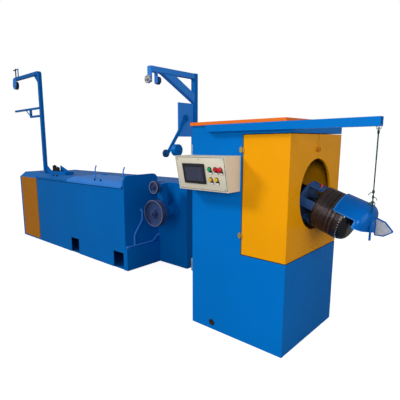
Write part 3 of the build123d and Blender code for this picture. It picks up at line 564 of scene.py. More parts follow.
def zinc_sheet(name, base, rough, metal):
    """Zinc plated or galvanised steel: pale grey with faint crystal spangle, dulled in patches."""
    tree, out, place = blank(name)
    spangle = add(tree, "TexVoronoi", {"Scale": per_mm(14)}, {"Vector": place})
    tone = add(tree, "Mix", {6: shade(base, 0.85), 7: shade(base, 1.1)}, {
        0: spangle.outputs["Color"]}, data_type="RGBA")
    film = add(tree, "TexNoise", {"Scale": per_mm(30), "Detail": 4.0}, {"Vector": place})
    dull = add(tree, "MapRange", {1: 0.3, 2: 0.7, 3: rough - 0.08, 4: rough + 0.12}, {0: film})
    add(tree, "BsdfPrincipled", {"Metallic": metal}, {
        "Base Color": tone.outputs[2], "Roughness": dull}, into=out)


# Nodes given the lighter blue carry a painted sheen.
FINISH_OF_NODE = {
    **dict.fromkeys((
        "tank_lid", "lid_handles", "gantry_arm", "gantry_brace", "guide_brackets", "dancer_plate",
        "inlet_fork", "coolant_pipes"), "pale blue enamel"),
    **dict.fromkeys(("drum_cage", "dancer_roller"), "shaded blue enamel"),
    "inlet_panel": "ochre enamel", "drum_body": "black gloss enamel",
    # The trunk's darker gloss blue is painted shade.
    "guide_wheel_front": "zinc plate", "trunk": "gloss blue enamel",
}
FINISH_OF_SLOT = {
    "blue_paint": "blue enamel", "yellow_paint": "yellow enamel", "orange_paint": "orange enamel",
    "beige_paint": "beige powder coat", "black_paint": "black gloss enamel", "drawn_wire": "drawn wire",
    "worn_steel": "turned steel", "black_rubber": "black rubber", "screen_black": "screen bezel",
    "green_plastic": "green button", "yellow_plastic": "amber button", "red_plastic": "red button",
    "grey_sheet": "galvanised sheet", "green_rope": "fibre rope",
}


class WIRE_OT_finishes(Operator):
    """Makes the finishes and paints the CAD nodes with them"""
    bl_idname = "wire.finishes"
    bl_label = "Finishes"

    def execute(self, context):
        c = context.scene.wire_colours
        zinc, worn = linear("8f949c"), linear("2f6fa6")
        enamel("blue enamel", c.blue, worn, 0.34, 0.12, linear("7fc0ff"))
        # The lighter blue, a painted sheen.
        enamel("pale blue enamel", c.pale, linear("6f9cc8"), 0.34, 0.08, linear("8fc8ff"))
        enamel("yellow enamel", c.yellow, linear("b98a3a"), 0.30, 0.2, linear("ffd890"))
        enamel("ochre enamel", c.ochre, linear("6e5326"), 0.24, 0.4, linear("ffc880"), cloud=160.0)
        enamel("shaded blue enamel", linear("2d4e82"), zinc, 0.40, 0.2, wear=0.4)
        # A darker copy of the blue for the trunk: its dark base is painted shade, its gloss is the enamel's own.
        enamel("gloss blue enamel", linear("005cb0"), worn, 0.20, 0.35, linear("8fc8ff"))
        enamel("orange enamel", c.orange, linear("b9683a"), 0.36, 0.2, linear("ffd0a8"))
        enamel("beige powder coat", c.beige, zinc, 0.5, 0.3, peel=3.0, wear=0.3)
        enamel("black gloss enamel", c.black, linear("3a3a40"), 0.14, 0.5, wear=0.3)
        turned_steel("turned steel", c.steel, 0.38, 0.6, 0.35)
        drawn_wire("drawn wire", c.wire)
        zinc_sheet("zinc plate", c.bare, 0.38, 0.8)
        zinc_sheet("passivated zinc", linear("b09a52"), 0.40, 0.5)
        zinc_sheet("galvanised sheet", c.sheet, 0.45, 0.25)
        moulded("black rubber", c.rubber, 0.6, 0.3)
        moulded("screen bezel", linear("202026"), 0.45, 0.35)
        moulded("green button", c.green_cap, 0.3)
        moulded("red button", c.red_cap, 0.3)
        moulded("amber button", c.yellow_cap, 0.3)
        moulded("legend plate", c.plate, 0.4)
        screen_glass("screen glass", c.screen)
        fibre_rope("fibre rope", c.rope)
        slots = {row["node"]: row["material_slot"] for row in frame["record"]["subparts"]}
        for name, node in frame["nodes"].items():
            finish = bpy.data.materials[FINISH_OF_NODE.get(name, FINISH_OF_SLOT[slots[name]])]
            if not node.material_slots:
                node.data.materials.append(finish)
            for place in node.material_slots:
                place.material = finish
        return {"FINISHED"}


class WIRE_OT_guards(Operator):
    """Hinges, latch and keeper of the two guard doors"""
    bl_idname = "wire.guards"
    bl_label = "Guard doors"

    def execute(self, context):
        s = context.scene.wire_sizes
        base, lintel = corners("cabinet_base"), corners("cabinet_lintel")
        for side, body, name in (
                (-1, "front_guard", "guard_hinges_front"), (1, "rear_guard", "guard_hinges_rear")):
            pivot = Vector(joint(body + "_hinge")["pos_m"])
            door, column = [], []
            for z in (lintel[0].z - 0.108, base[1].z + 0.143):
                self.hinge(s, side, abs(base[0].y), Vector((pivot.x, pivot.y, z)), door, column)
            dress(joined(name, door), HINGE, body)
            dress(joined(name + "_leaves", column), HINGE)
        x, z = corners("front_guard_end")[1].x, lintel[0].z - 0.109
        rose = turned("latch_rose", (
            (0, 0.019), (0.003, 0.019), (0.005, 0.016), (0.005, 0.012), (0.014, 0.011), (0.016, 0.009)),
            28, (x, -0.024, z), RIGHT)
        lever = block(
            "latch_lever", (x + 0.010, -0.028, z - 0.006), (x + 0.018, 0.008, z + 0.006), 0.003, 3)
        dress(joined("guard_latch", [rose, lever]), OCHRE, "front_guard")
        keeper = block("guard_keeper", (x, 0.006, z - 0.016), (x + 0.004, 0.034, z + 0.016))
        dress(keeper, OCHRE, "rear_guard")
        return {"FINISHED"}

    def hinge(self, s, side, half_width, middle, door, column):
        """One hinge: barrel, leaf and web on the door, a leaf on the column, and their screws."""
        long, r = s.hinge_length, s.hinge
        third, half, groove = long / 3, 0.4 * long, 0.001
        under, over = side * (half_width + 0.0006), side * (half_width + 0.0042)
        door.append(turned("barrel", (
            (0, 0.7 * r), (0.002, r),
            (third - groove, r), (third, 0.86 * r), (third + groove, r),
            (2 * third - groove, r), (2 * third, 0.86 * r), (2 * third + groove, r),
            (long - 0.002, r), (long, 0.7 * r), (long + 0.004, 0.45 * r)), 24, middle - UP * long / 2))
        for pieces, x0, x1, y in (
                (door, 0.004, 0.018, over), (door, 0.001, 0.007, middle.y), (column, -0.019, -0.008, over)):
            near, far = sorted((under, y))
            pieces.append(block(
                "leaf", (middle.x + x0, near, middle.z - half), (middle.x + x1, far, middle.z + half),
                0.001))
        for up in (-0.010, 0.010):
            for pieces, x in ((door, 0.013), (column, -0.0135)):
                spot = (middle.x + x, over, middle.z + up)
                pieces.append(lay(pan_screw(0.5 * s.screw), spot, (0, side, 0)))


class WIRE_OT_cabinet(Operator):
    """Access door, its hinges, the cable grommet and the black strips that paint the shade in the gaps round the
    guard doors' bay
    """
    bl_idname = "wire.cabinet"
    bl_label = "Cabinet fittings"

    def execute(self, context):
        (left, front, _), (_, back, top) = corners("cabinet_base")[0], corners("cabinet_column")[1]
        dress(block(
            "access_door", (left - 0.003, front + 0.035, 0.40), (left, back - 0.035, top - 0.10)), BLUE)
        hinges = []
        for z in (1.404, 0.489):
            hinges += [turned(
                "pin", ((0, 0.006), (0.002, 0.010), (0.048, 0.010), (0.050, 0.006)), 18,
                (left - 0.012, front + 0.012, z + part)) for part in (-0.052, 0.002)]
            hinges.append(block(
                "leaf", (left - 0.008, front + 0.004, z - 0.055), (left, front + 0.05, z + 0.055), 0.001))
        dress(joined("access_hinges", hinges), ZINC)
        dress(turned("access_lock", (
            (0, 0.016), (0.004, 0.016), (0.006, 0.013), (0.006, 0.008), (0.012, 0.007)), 24,
            (left - 0.003, back - 0.075, 0.95), LEFT), ZINC)
        dress(turned("cable_grommet", (
            (0.0, 0.026), (0.003, 0.026), (0.006, 0.023), (0.006, 0.019), (0.004, 0.0165), (0.001, 0.016)),
            28, (left / 2, front, 0.058), FRONT), RUBBER)
        # Black strips paint the shade in the gaps round the guard doors.
        self.shade_strips(context.scene.wire_sizes.seal)
        return {"FINISHED"}

    def shade_strips(self, wide):
        """Thin black strips along sill, head and back edges of the bay: painted shade in the gaps round the doors.
        """
        (x0, y0, head), (x1, y1, _) = corners("cabinet_lintel")
        sill, thick = corners("cabinet_base")[1].z, wide / 18
        runs = [(x0, y0, x1, y0 + wide), (x0, y1 - wide, x1, y1), (x1 - wide, y0 + wide, x1, y1 - wide)]
        boxes = [((xa, ya, z), (xb, yb, z + thick))
                 for xa, ya, xb, yb in runs for z in (sill, head - thick)]
        boxes += [((x0, y, sill + thick), (x0 + thick, y + wide, head - thick)) for y in (y0, y1 - wide)]
        dress(joined("bay_seals", [block("seal", low, high, 0.0002, 1) for low, high in boxes]), RUBBER)


class WIRE_OT_control_panel(Operator):
    """Panel door, screen, buttons and blank legend plates of the control box"""
    bl_idname = "wire.control_panel"
    bl_label = "Control panel"

    def execute(self, context):
        s = context.scene.wire_sizes
        low, high = corners("control_box")
        lean = Vector((0, -s.panel_lean, high.z - low.z)).normalized()
        out = RIGHT.cross(lean)
        middle = Vector(((low.x + high.x) / 2, low.y + s.panel_lean / 2, (low.z + high.z) / 2))
        half_w, half_h = (high.x - low.x) / 2, (high.z - low.z) / 2

        def spot(u, v, w=0.0):
            return middle + RIGHT * u + lean * v + out * w

        door = block(
            "control_door", (-half_w + 0.014, -half_h + 0.008, 0),
            (half_w - 0.008, half_h - 0.008, 0.003), 0.0014)
        dress(lay_on(door, middle, RIGHT, lean), ("beige powder coat", "beige_paint"))
        gasket = block(
            "control_gasket", (-half_w + 0.0115, -half_h + 0.0055, 0),
            (half_w - 0.0055, half_h - 0.0050, 0.0016), 0.0007)
        dress(lay_on(gasket, middle, RIGHT, lean), BEZEL)
        dress(spread("control_screws", pan_screw(s.screw * 0.8), [
            (spot(u, v, 0.003), out) for v in (-half_h + 0.018, half_h - 0.018)
            for u in (-half_w + 0.026, 0, half_w - 0.02)]), ZINC)
        self.screen(spot, lean)
        self.buttons(spot, out, lean)
        return {"FINISHED"}

    def screen(self, spot, lean):
        """The bezel with a frame inset in its face and the glass sunk behind it."""
        width, tall, deep = 0.204, 0.150, 0.009
        piece = block("operator_screen", (-width / 2, -tall / 2, 0), (width / 2, tall / 2, deep), 0.004, 3)
        for finish in ("screen bezel", "screen glass"):
            piece.data.materials.append(bpy.data.materials[finish])
        bpy.ops.object.mode_set(mode="EDIT")
        pick_faces(piece, lambda c, n: n.z > 0.99 and c.z > deep - 0.001)
        bpy.ops.mesh.inset(thickness=0.012)
        bpy.ops.transform.resize(value=(0.97, 0.90, 1), center_override=(0, -0.006, deep))
        bpy.ops.mesh.inset(thickness=0.0015)
        bpy.ops.transform.translate(value=(0, 0, -0.0025))
        piece.active_material_index = 1
        bpy.ops.object.material_slot_assign()
        bpy.ops.object.mode_set(mode="OBJECT")
        lay_on(piece, spot(-0.055, 0, 0.002), RIGHT, lean)
        dress(piece, (None, "screen_black"), "frame", "control_screen")

    def buttons(self, spot, out, lean):
        """Flush buttons in dark bezels, a mushroom button and a blank plate under each."""
        upper, lower = 0.037, -0.037
        flush = (0.003, 0.0142), (0.0135, 0.0142), (0.0155, 0.0125), (0.0165, 0.007)
        mushroom = (
            (0.003, 0.011), (0.010, 0.011), (0.0105, 0.018), (0.013, 0.0200), (0.0175, 0.0195),
            (0.021, 0.015), (0.0225, 0.007))
        places = []
        for name, look, node, steps, sides, spots in (
                ("button_start", ("green button", "green_plastic"), "button_green", flush, 28,
                 [(0.089, upper)]),
                ("buttons_jog", ("amber button", "yellow_plastic"), "buttons_yellow", flush, 28,
                 [(0.089, lower), (0.139, lower)]),
                ("button_halt", RED, "buttons_red", flush, 28, [(0.139, upper)]),
                ("button_stop", RED, "stop_button", mushroom, 32, [(0.181, upper)])):
            caps = [turned("cap", steps, sides, spot(u, v), out) for u, v in spots]
            dress(joined(name, caps), look, "frame", node)
            places += spots
        rim = turned("rim", (
            (0.003, 0.0144), (0.003, 0.0176), (0.006, 0.0176), (0.0085, 0.0162), (0.0085, 0.0144)), 28,
            hollow=True)
        dress(spread("button_rims", rim, [(spot(u, v), out) for u, v in places]), BEZEL)
        for name, look, low, high, soft in (
                ("legend_holders", BEZEL, (-0.012, -0.007, 0.003), (0.018, 0.020, 0.0052), 0.001),
                ("legend_plates", ("legend plate", None), (-0.0095, -0.0055, 0.0050),
                 (0.0140, 0.0060, 0.0062), 0.0005)):
            plates = [lay_on(block("plate", low, high, soft), spot(u + 0.004, v - 0.030), RIGHT, lean)
                      for u, v in places]
            dress(joined(name, plates), look)


class WIRE_OT_stay_rope(Operator):
    """Laid rope from the beam to the trunk, with its tie, knots and loop"""
    bl_idname = "wire.stay_rope"
    bl_label = "Stay rope"

    def execute(self, context):
        thick = context.scene.wire_sizes.rope
        low, high = corners("stay_rope")
        near = Vector((thick / 2, thick / 2.4, thick / 3.4))
        top = Vector((high.x - near.x, low.y + near.y, high.z - near.z))
        foot = Vector((low.x + near.x, high.y - near.y, low.z + near.z))
        run = foot - top
        radius = thick / 2
        turns = 20
        strands = []
        for k in range(3):
            clear()
            bpy.ops.mesh.primitive_circle_add(
                vertices=8, radius=0.56 * radius, fill_type="NGON",
                location=(0.46 * radius * cos(k * 2 * pi / 3), 0.46 * radius * sin(k * 2 * pi / 3), 0))
            strands.append(settle(named("strand")))
        rope = screwed(joined("stay_rope_laid", strands), run.length / turns, turns, 10)
        pieces = [lay(rope, top, run)]
        for share, size in ((0.05, 0.8), (0.72, 1.0), (0.79, 0.85), (0.86, 1.0)):
            neck, bulge, waist, crest = [f * radius for f in (1.0, 1.7 * size, 1.6 * size, 2.0 * size)]
            pieces.append(turned("knot", (
                (-0.012, neck), (-0.009, bulge), (-0.003, crest), (0.0, waist), (0.003, crest),
                (0.009, bulge), (0.012, neck)), 14, top + run * share, run))
        for share, lean in ((0.74, -1), (0.80, 1), (0.87, -1)):
            spot = top + run * share
            pieces.append(drawn_rod("tail", [spot + Vector((x * lean, y, z)) for x, y, z in (
                (0, 0, 0), (0.010, 0, 0.004), (0.020, -0.004, 0), (0.026, -0.006, -0.014))], 0.55 * radius))

        def loop(middle, size):
            angles = [2 * pi * k / 10 for k in range(10)]
            return [middle + RIGHT * size * cos(a) + UP * size * sin(a) for a in angles]

        pieces.append(drawn_rod("loop", loop(top + run * 0.88, 0.015), 0.6 * radius, closed=True))
        under_beam = Vector((top.x, top.y, corners("stay_beam")[0].z - 0.006))
        dress(drawn_rod("rope_eye", loop(under_beam, 0.012), 0.003, closed=True), ZINC)
        dress(joined("stay_rope_laid", pieces), ("fibre rope", "green_rope"), "frame", "stay_rope")
        return {"FINISHED"}


class WIRE_OT_drum(Operator):
    """Wound wire, nose rivets, cage screws and pin of the coil drum"""
    bl_idname = "wire.drum"
    bl_label = "Coil drum"

    def execute(self, context):
        s = context.scene.wire_sizes
        first, outer, bare = s.coil_start, s.coil, s.drum
        long = s.coil_end - first
        turns = int(long / s.wire)
        clear()
        bpy.ops.mesh.primitive_circle_add(
            vertices=6, radius=s.wire / 2, fill_type="NOTHING", rotation=(pi / 2, 0, 0),
            location=(outer - s.wire / 2, 0, 0))
        coil = screwed(settle(named("wound_wire")), (long - s.wire) / (turns - 1), turns - 1, 72)
        lay(coil, on_axis(first + s.wire / 2), AXIS)
        inside, under = bare + 0.0006, outer - 0.0035
        liner = turned(
            "liner", ((0.0, inside), (0.0, under), (long, under), (long, inside)), 72, on_axis(first), AXIS,
            hollow=True)
        dress(joined("wound_wire", [coil, liner]), ("drawn wire", "drawn_wire"), "drum", "wire_coil")

        def seat(along, angle, sunk=0.0003):
            """A spot on the drum's skin and the direction out of it."""
            return round_axis(along, bare - sunk, angle), round_axis(0, 1, angle) - AXIS_FOOT

        dress(spread("nose_rivets", pan_screw(0.004), [
            seat(s.coil_end + 0.0065, k * pi / 24) for k in range(48)]), ZINC, "drum")
        bars = [radians(22 + 60 * k) for k in range(6)]
        dress(spread("cage_screws", pan_screw(0.007), [
            seat(along, a + aside) for a in bars for along in (-0.066, 0.034) for aside in (-0.10, 0.10)]),
            ("shaded blue enamel", "blue_paint"), "drum")
        spot = seat(0.012, bars[0], 0.001)
        dress(turned("drum_pin", ((0, 0.006), (0.018, 0.006)), 16, *spot), ZINC, "drum")
        dress(turned("drum_pin_knob", (
            (0.014, 0.008), (0.016, 0.011), (0.022, 0.011), (0.026, 0.008), (0.028, 0.004)), 20, *spot),
            RED, "drum")
        return {"FINISHED"}


class WIRE_OT_trunk(Operator):
    """Rolled rim of the trunk and the screws of the plate at its tip"""
    bl_idname = "wire.trunk"
    bl_label = "Trunk"

    def execute(self, context):
        s = context.scene.wire_sizes
        edge, wide, inset = radians(68), radians(86), 0.002
        skin, hood = s.trunk - inset, s.hood_round - inset
        close = s.trunk_tip - s.hood_shoulder
        bend = atan2(s.trunk, close)
        start = s.hood_shoulder - s.hood_round * tan(bend / 2)
        heart = s.trunk - s.hood_round
        profile = [(start, skin)]
        profile += [(start + hood * sin(a), heart + hood * cos(a))
                    for a in [bend * k / 8 for k in range(1, 9)]]
        profile += [(s.trunk_tip - inset - close * r / s.trunk, r) for r in (0.09, 0.06, 0.03, 0.004)]
        rims = []
        for side in (-1, 1):
            path = [round_axis(s.trunk_start + (s.hood_start - s.trunk_start) * k / 4, skin, side * edge)
                    for k in range(5)]
            path += [round_axis(s.hood_start, skin, side * (edge + (wide - edge) * k / 4))
                     for k in range(1, 5)]
            path += [round_axis(along, r, side * wide) for along, r in profile]
            rims.append(drawn_rod("rim", path, s.rim))
        rims.append(drawn_rod("rim", [
            round_axis(s.trunk_start, skin, edge * k / 12) for k in range(-12, 13)], s.rim))
        # The rim takes the lighter blue: a painted highlight along the rolled hem.
        dress(joined("trunk_rim", rims), SHEEN_LIT_BLUE)
        plate = corners("nose_plate")[0]
        dress(spread("nose_screws", pan_screw(0.004), [
            ((plate.x + dx, plate.y, plate.z + dz), FRONT)
            for dx, dz in ((0.010, 0.012), (0.010, 0.085), (0.046, 0.066), (0.076, 0.036))]), ZINC)
        return {"FINISHED"}


class WIRE_OT_tank(Operator):
    """Lid hinges, knobs, panel screws and pipe fittings of the drawing tank"""
    bl_idname = "wire.tank"
    bl_label = "Drawing tank"

    def execute(self, context):
        lid, deck, panel = corners("tank_lid"), corners("tank_deck"), corners("inlet_panel")
        self.hinges(context.scene.wire_sizes.screw, lid)
        rim, deep, share = 0.995, 0.111, 0.68
        top = lid[1].z
        slope = Vector((0, rim - top, deep))
        y, z = deck[0].y + share * deep, rim + share * (top - rim)
        for name, body, spots in (
                ("deck_knobs", "frame", (-3.475, -3.375)), ("lid_knobs", "lid", (-2.430, -2.305))):
            knob = turned("knob", (
                (0, 0.013), (0.003, 0.013), (0.004, 0.009), (0.012, 0.0105), (0.018, 0.009),
                (0.020, 0.005)), 18)
            dress(spread(name, knob, [((x, y, z), slope) for x in spots]), BEZEL, body)
        dress(spread("panel_screws", pan_screw(0.007), [
            ((x, panel[0].y, z), FRONT) for x in (panel[0].x + 0.02, panel[1].x - 0.02)
            for z in (0.06, 0.35, 0.64, 0.93)]), OCHRE)
        self.fittings()
        return {"FINISHED"}

    def hinges(self, screw, lid):
        """Three hinges: barrel and leaf on the lid, and a leaf on the gear case behind it."""
        pivot = Vector(joint("tank_lid_hinge")["pos_m"])
        case, half = corners("gear_case")[1].z, 0.05
        back, top = lid[1].y, lid[1].z
        r, groove = 0.0056, 0.005
        moving, fixed = [], []
        for share in (0.12, 0.5, 0.88):
            x = lid[0].x + share * (lid[1].x - lid[0].x)
            moving.append(turned("barrel", (
                (-half, 0.004), (-0.048, r), (-0.017, r), (-0.016, groove), (-0.015, r),
                (0.015, r), (0.016, groove), (0.017, r), (0.048, r), (half, 0.004)),
                18, (x, pivot.y, pivot.z), RIGHT))
            for pieces, y0, y1, z0, z1, y in (
                    (moving, back - 0.05, back, top, top + 0.003, back - 0.03),
                    (fixed, back + 0.012, back + 0.055, case, case + 0.0035, back + 0.04)):
                pieces.append(block("leaf", (x - half, y0, z0), (x + half, y1, z1), 0.001))
                pieces += [lay(pan_screw(screw), (x + dx, y, z1), UP) for dx in (-0.03, 0.03)]
        dress(joined("lid_hinges", moving), BLUE, "lid")
        dress(joined("lid_hinge_leaves", fixed), BLUE)

    def fittings(self):
        """Nuts, end cap and flange of the coolant pipes."""
        end = corners("tank_end_plate")[1].x
        pipes, level = corners("coolant_pipes"), corners("skirt_box")[1].z + 0.013
        run = end + 0.017
        nut = joined("nut", [
            turned("body", ((0, 0.017), (0.010, 0.017), (0.012, 0.015)), 6),
            turned("collar", ((0.012, 0.0125), (0.018, 0.0125), (0.020, 0.0115)), 20)])
        nuts = spread("pipe_fittings", nut, [
            ((run, pipes[1].y, 0.349), FRONT), ((run, pipes[0].y + 0.022, level), FRONT)])
        cap = turned("cap", (
            (0, 0.0135), (0.006, 0.0135), (0.009, 0.011), (0.010, 0.006)), 20,
            (run, pipes[0].y, level), FRONT)
        flange = turned("flange", (
            (0, 0.021), (0.004, 0.021), (0.005, 0.019)), 24, (end, 0.235, 0.694), RIGHT)
        # The fittings take the lighter blue: a painted highlight on the blue paint.
        dress(joined("pipe_fittings", [nuts, cap, flange]), SHEEN_LIT_BLUE)


class WIRE_OT_capstan(Operator):
    """Hub plate, nuts, rims and sleeve bolts of the take-off capstan and its idler"""
    bl_idname = "wire.capstan"
    bl_label = "Capstan"

    def execute(self, context):
        wheel, idler = corners("capstan_wheel"), corners("idler_wheel")
        middle, above = (wheel[0] + wheel[1]) / 2, (idler[0] + idler[1]) / 2
        gap = 0.004
        seat = (middle.x, wheel[0].y - gap, middle.z)
        hub = turned("capstan_hub", (
            (0, 0.040), (0.006, 0.040), (0.008, 0.038), (0.008, 0.024), (0.014, 0.022)), 32, seat, FRONT)
        nut = turned("nut", ((0.014, 0.018), (0.026, 0.018), (0.029, 0.015)), 6, seat, FRONT)
        small = flanged_nut(
            "nut", (above.x, idler[0].y - gap, above.z), FRONT, 0.022, 0.004, 0.013, 0.013, 0.011)
        dress(joined("capstan_hub", [hub, nut, small]), STEEL)
        for body, (low, high), hub in (("capstan", wheel, middle), ("idler", idler, above)):
            r = (high.x - low.x) / 2
            dress(turned(body + "_rim", (
                (-0.001, r - 0.009), (0.0012, r - 0.008), (0.0012, r - 0.003), (-0.001, r - 0.002)), 72,
                (hub.x, low.y, hub.z), FRONT, hollow=True), ZINC, body)
        y, circle = corners("capstan_sleeve")[1].y - 0.040, 0.079
        dress(spread("sleeve_bolts", hex_bolt(0.007), [
            ((middle.x + circle * cos(a), y, middle.z + circle * sin(a)), FRONT)
            for a in [k * pi / 3 + 0.3 for k in range(6)]]), BLUE)
        return {"FINISHED"}


class WIRE_OT_gantry(Operator):
    """Foot plate, welds, nuts and weight fittings of the delivery gantry"""
    bl_idname = "wire.gantry"
    bl_label = "Delivery gantry"

    def execute(self, context):
        s = context.scene.wire_sizes
        post, arm, brace = corners("gantry_post"), corners("gantry_arm"), corners("gantry_brace")
        plate = corners("dancer_plate")
        (x0, y0, z), (x1, y1, top) = post
        cap = block("post_cap", (x0 + 0.003, y0 + 0.003, top), (x1 - 0.003, y1 - 0.003, top + 0.004), 0.002)
        beads = footing("gantry", s, (x0, x1, y0, y1, z), (0.045, 0.045), (0.022, 0.022), cap)
        beads.append(weld((x0, y0, arm[0].z), (x1, y0, arm[0].z), s.bead))
        thin = s.bead * 0.7
        for x in (x1, x0):
            beads += [
                weld((x, y0, arm[0].z), (x, y0, arm[1].z), thin),
                weld((x, brace[0].y, brace[1].z), (x, brace[0].y + 0.191, brace[1].z), thin),
                weld((x, y0, brace[0].z), (x, y0, brace[0].z + 0.099), thin)]
        for x in (plate[0].x, plate[0].x + 0.014):
            beads.append(weld((x, y0, plate[0].z), (x, y0, plate[1].z), thin))
        dress(joined("gantry_welds", beads), BLUE)
        nuts = []
        for node, along in (("guide_wheel_front", FRONT), ("guide_wheel_rear", BACK)):
            low, high = corners(node)
            spot = (low + high) / 2 + along * ((high.y - low.y) / 2 + NUT_GAP)
            nuts.append(flanged_nut("nut", spot, along, 0.016, 0.003, 0.0125, 0.010, 0.010))
        dress(joined("guide_nuts", nuts), ZINC)
        self.dancer(plate)
        return {"FINISHED"}

    def dancer(self, plate):
        """Boss on the dancer's pivot, nut of its roller and face of its weight."""
        pivot = Vector(joint("dancer_swing")["pos_m"])
        dress(flanged_nut(
            "dancer_boss", (plate[1].x, pivot.y, pivot.z), RIGHT, 0.028, 0.004, 0.019, 0.016, 0.016), BLUE)
        low, high = corners("dancer_roller")
        spot = (low + high) / 2
        dress(flanged_nut(
            "dancer_nut", (low.x - NUT_GAP, spot.y, spot.z), LEFT, 0.016, 0.003, 0.0125, 0.009, 0.010),
            ZINC, "dancer")
        weight = pivot + (spot - pivot) * (0.464 / 0.512)
        dress(turned("weight_face", (
            (0, 0.058), (0.002, 0.058), (0.003, 0.054), (0.003, 0.022), (0.012, 0.020), (0.014, 0.017)), 36,
            (corners("dancer_arm")[1].x, weight.y, weight.z), RIGHT), BLUE, "dancer")


class WIRE_OT_inlet(Operator):
    """Foot plate, welds, strut, wheel nuts and roller caps of the inlet mast"""
    bl_idname = "wire.inlet"
    bl_label = "Inlet mast"

    def execute(self, context):
        s = context.scene.wire_sizes
        (tip, y0, _), (end, y1, top) = corners("inlet_mast")
        x0, x1, z = end - 0.270, end - 0.220, corners("tank_deck")[1].z
        bars = corners("guide_bars")
        centre = (y0 + y1) / 2
        cap = block(
            "mast_cap", (tip - 0.004, y0 + 0.003, top - 0.047), (tip, y1 - 0.003, top - 0.003), 0.002)
        beads = footing("mast", s, (x0, x1, y0, y1, z), (0.05, 0.045), (0.026, 0.024), cap)
        half = 0.015
        for bar in (bars[1].z - half, bars[0].z + half):
            beads += [weld((x0, y, bar - half), (x0, y, bar + half), s.bead * 0.8)
                      for y in (y0 + 0.01, y1 - 0.01)]
        dress(joined("mast_welds", beads), BLUE)
        knee = Vector((x0 - 0.340, centre, bars[0].z + half))
        rise = Vector((-0.150, 0, bars[1].z - 2 * half - knee.z))
        dress(turned("guide_strut", ((0, 0.008), (rise.length, 0.008)), 20, knee, rise), BLUE)
        self.wheel(tip, centre, top)
        rollers = corners("inlet_rollers")
        depth = (rollers[0].y + rollers[1].y) / 2
        steps = (0, 0.022), (0.003, 0.022), (0.004, 0.012), (0.010, 0.012), (0.012, 0.010)
        caps = [turned("cap", steps, 6, (x, depth, z)) for x, z in (
            (rollers[0].x + 0.030, rollers[1].z), (rollers[1].x - 0.030, rollers[1].z - 0.024))]
        dress(joined("roller_caps", caps), STEEL)
        return {"FINISHED"}

    def wheel(self, tip, centre, top):
        """Nuts of the inlet wheel, collars of the fork's posts and the dark sleeves on them."""
        low, high = corners("inlet_wheel")
        fork = corners("inlet_fork")
        hub = (low + high) / 2
        nuts = [flanged_nut("nut", (hub.x, y, hub.z), along, 0.018, 0.003, 0.013, 0.011, 0.011)
                for y, along in ((high.y + NUT_GAP, BACK), (fork[0].y, FRONT))]
        nuts += [turned("collar", (
            (0, 0.014), (0.010, 0.014), (0.012, 0.012), (0.012, 0.0095)), 18, (tip + along, centre, top))
            for along in (0.024, 0.114)]
        dress(joined("inlet_nuts", nuts), ZINC)
        sleeve = turned("sleeve", ((0, 0.0098), (0.132, 0.0098)), 20, (tip + 0.024, centre, top + 0.010))
        bar = turned("bar", ((0, 0.0088), (0.120, 0.0088)), 20,
                     (fork[0].x - 0.002, centre, fork[1].z - 0.009), RIGHT)
        dress(joined("fork_sleeves", [sleeve, bar]), RUBBER)


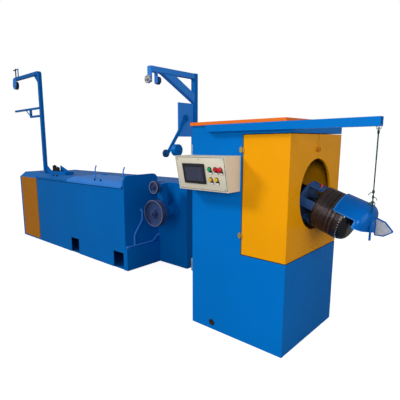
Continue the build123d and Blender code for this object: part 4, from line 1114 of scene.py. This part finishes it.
class WIRE_OT_stage(Operator):
    """Pale floor, soft light and the camera"""
    bl_idname = "wire.stage"
    bl_label = "Stage"

    def execute(self, context):
        st = context.scene.wire_stage
        context.scene.view_settings.view_transform = "Standard"
        self.floor(st.floor_grey, st.floor_glow)
        self.world(context.scene, st.room)
        clear()
        bpy.ops.object.light_add(type="SUN", location=(-5.4, -4.2, 5.8))
        key = bpy.context.object
        key.name = "key_light"
        key.data.energy = st.key
        key.data.angle = radians(14)
        key.rotation_mode = "QUATERNION"
        key.rotation_quaternion = Vector((1.05, 1.0, -0.95)).to_track_quat("-Z", "Y")
        for name, spot, aim, power, size in (
                ("fill_light", Vector((5.0, -1.2, 2.8)), Vector((0.2, 0, 1.0)), st.fill, 3.5),
                ("wide_light", Vector((-0.2, -4.6, 1.7)), Vector((-0.6, 0, 0.9)), st.wide, 2.5),
                ("front_light", Vector((1.9, -2.9, 1.9)), Vector((0.3, 0, 1.1)), st.front, 0.6)):
            clear()
            bpy.ops.object.light_add(type="AREA", location=spot)
            lamp = bpy.context.object
            lamp.name = name
            lamp.data.energy = power
            lamp.data.shape = "SQUARE"
            lamp.data.size = size
            lamp.rotation_mode = "QUATERNION"
            lamp.rotation_quaternion = (aim - spot).to_track_quat("-Z", "Y")
        self.camera(context.scene, st)
        return {"FINISHED"}

    def floor(self, grey, glow):
        """A pale floor that looks white to the camera and keeps the shadow."""
        clear()
        bpy.ops.mesh.primitive_plane_add(size=60, location=(0, 0, -0.001))
        floor = settle(named("studio_floor"))
        tree, out, _ = blank("studio floor")
        seen = add(tree, "LightPath")
        matt = add(tree, "BsdfDiffuse", {"Color": (grey, grey, grey, 1)})
        lift = add(tree, "Math", {1: glow}, {0: seen.outputs["Is Camera Ray"]}, operation="MULTIPLY")
        shine = add(tree, "Emission", {"Color": WHITE}, {"Strength": lift})
        add(tree, "AddShader", {}, {0: matt, 1: shine}, into=out)
        floor.data.materials.append(bpy.data.materials["studio floor"])

    def world(self, scene, strength):
        """White where the camera looks, plain soft light elsewhere."""
        world = bpy.data.worlds.new("studio")
        scene.world = world
        world.use_nodes = True
        tree = world.node_tree
        tree.nodes.clear()
        out = add(tree, "OutputWorld")
        seen = add(tree, "LightPath")
        level = add(tree, "MapRange", {1: 0.0, 2: 1.0, 3: strength, 4: 1.0}, {
            0: seen.outputs["Is Camera Ray"]})
        add(tree, "Background", {"Color": WHITE}, {"Strength": level}, into=out)

    def camera(self, scene, st):
        """The camera as fitted to the photograph."""
        clear()
        bpy.ops.object.camera_add(location=st.eye)
        eye = bpy.context.object
        eye.name = "photo_camera"
        back = Vector((sin(st.turn) * cos(st.dip), -cos(st.turn) * cos(st.dip), sin(st.dip)))
        side = UP.cross(back).normalized()
        top = back.cross(side)
        x = side * cos(st.roll) + top * sin(st.roll)
        y = top * cos(st.roll) - side * sin(st.roll)
        eye.matrix_world = axes_at(x, y, back, st.eye)
        eye.data.sensor_width = 36
        eye.data.lens = st.lens
        eye.data.shift_x = st.shift_x
        eye.data.shift_y = st.shift_y
        eye.data.clip_end = 200
        scene.camera = eye


class WIRE_PT_machine(Panel):
    """The steps that dress the machine, in order"""
    bl_idname = "WIRE_PT_machine"
    bl_label = "Wire drawing machine"
    bl_space_type = "VIEW_3D"
    bl_region_type = "UI"
    bl_category = "Wire machine"

    def draw(self, context):
        for step in STEPS:
            self.layout.operator(step.bl_idname)
        for group in (context.scene.wire_sizes, context.scene.wire_colours, context.scene.wire_stage):
            for name in group.__annotations__:
                self.layout.prop(group, name)


STEPS = (
    WIRE_OT_finishes, WIRE_OT_guards, WIRE_OT_cabinet, WIRE_OT_control_panel, WIRE_OT_stay_rope,
    WIRE_OT_drum, WIRE_OT_trunk, WIRE_OT_tank, WIRE_OT_capstan, WIRE_OT_gantry, WIRE_OT_inlet,
    WIRE_OT_stage)
CLASSES = (WIRE_PG_colours, WIRE_PG_sizes, WIRE_PG_stage) + STEPS + (WIRE_PT_machine,)


def register():
    for kind in CLASSES:
        bpy.utils.register_class(kind)
    bpy.types.Scene.wire_colours = PointerProperty(type=WIRE_PG_colours)
    bpy.types.Scene.wire_sizes = PointerProperty(type=WIRE_PG_sizes)
    bpy.types.Scene.wire_stage = PointerProperty(type=WIRE_PG_stage)


def unregister():
    del bpy.types.Scene.wire_stage
    del bpy.types.Scene.wire_sizes
    del bpy.types.Scene.wire_colours
    for kind in reversed(CLASSES):
        bpy.utils.unregister_class(kind)


def main():
    """Dresses the machine step by step."""
    register()
    for step in STEPS:
        getattr(bpy.ops.wire, step.bl_idname.partition(".")[2])()


if __name__ == "__main__":
    main()
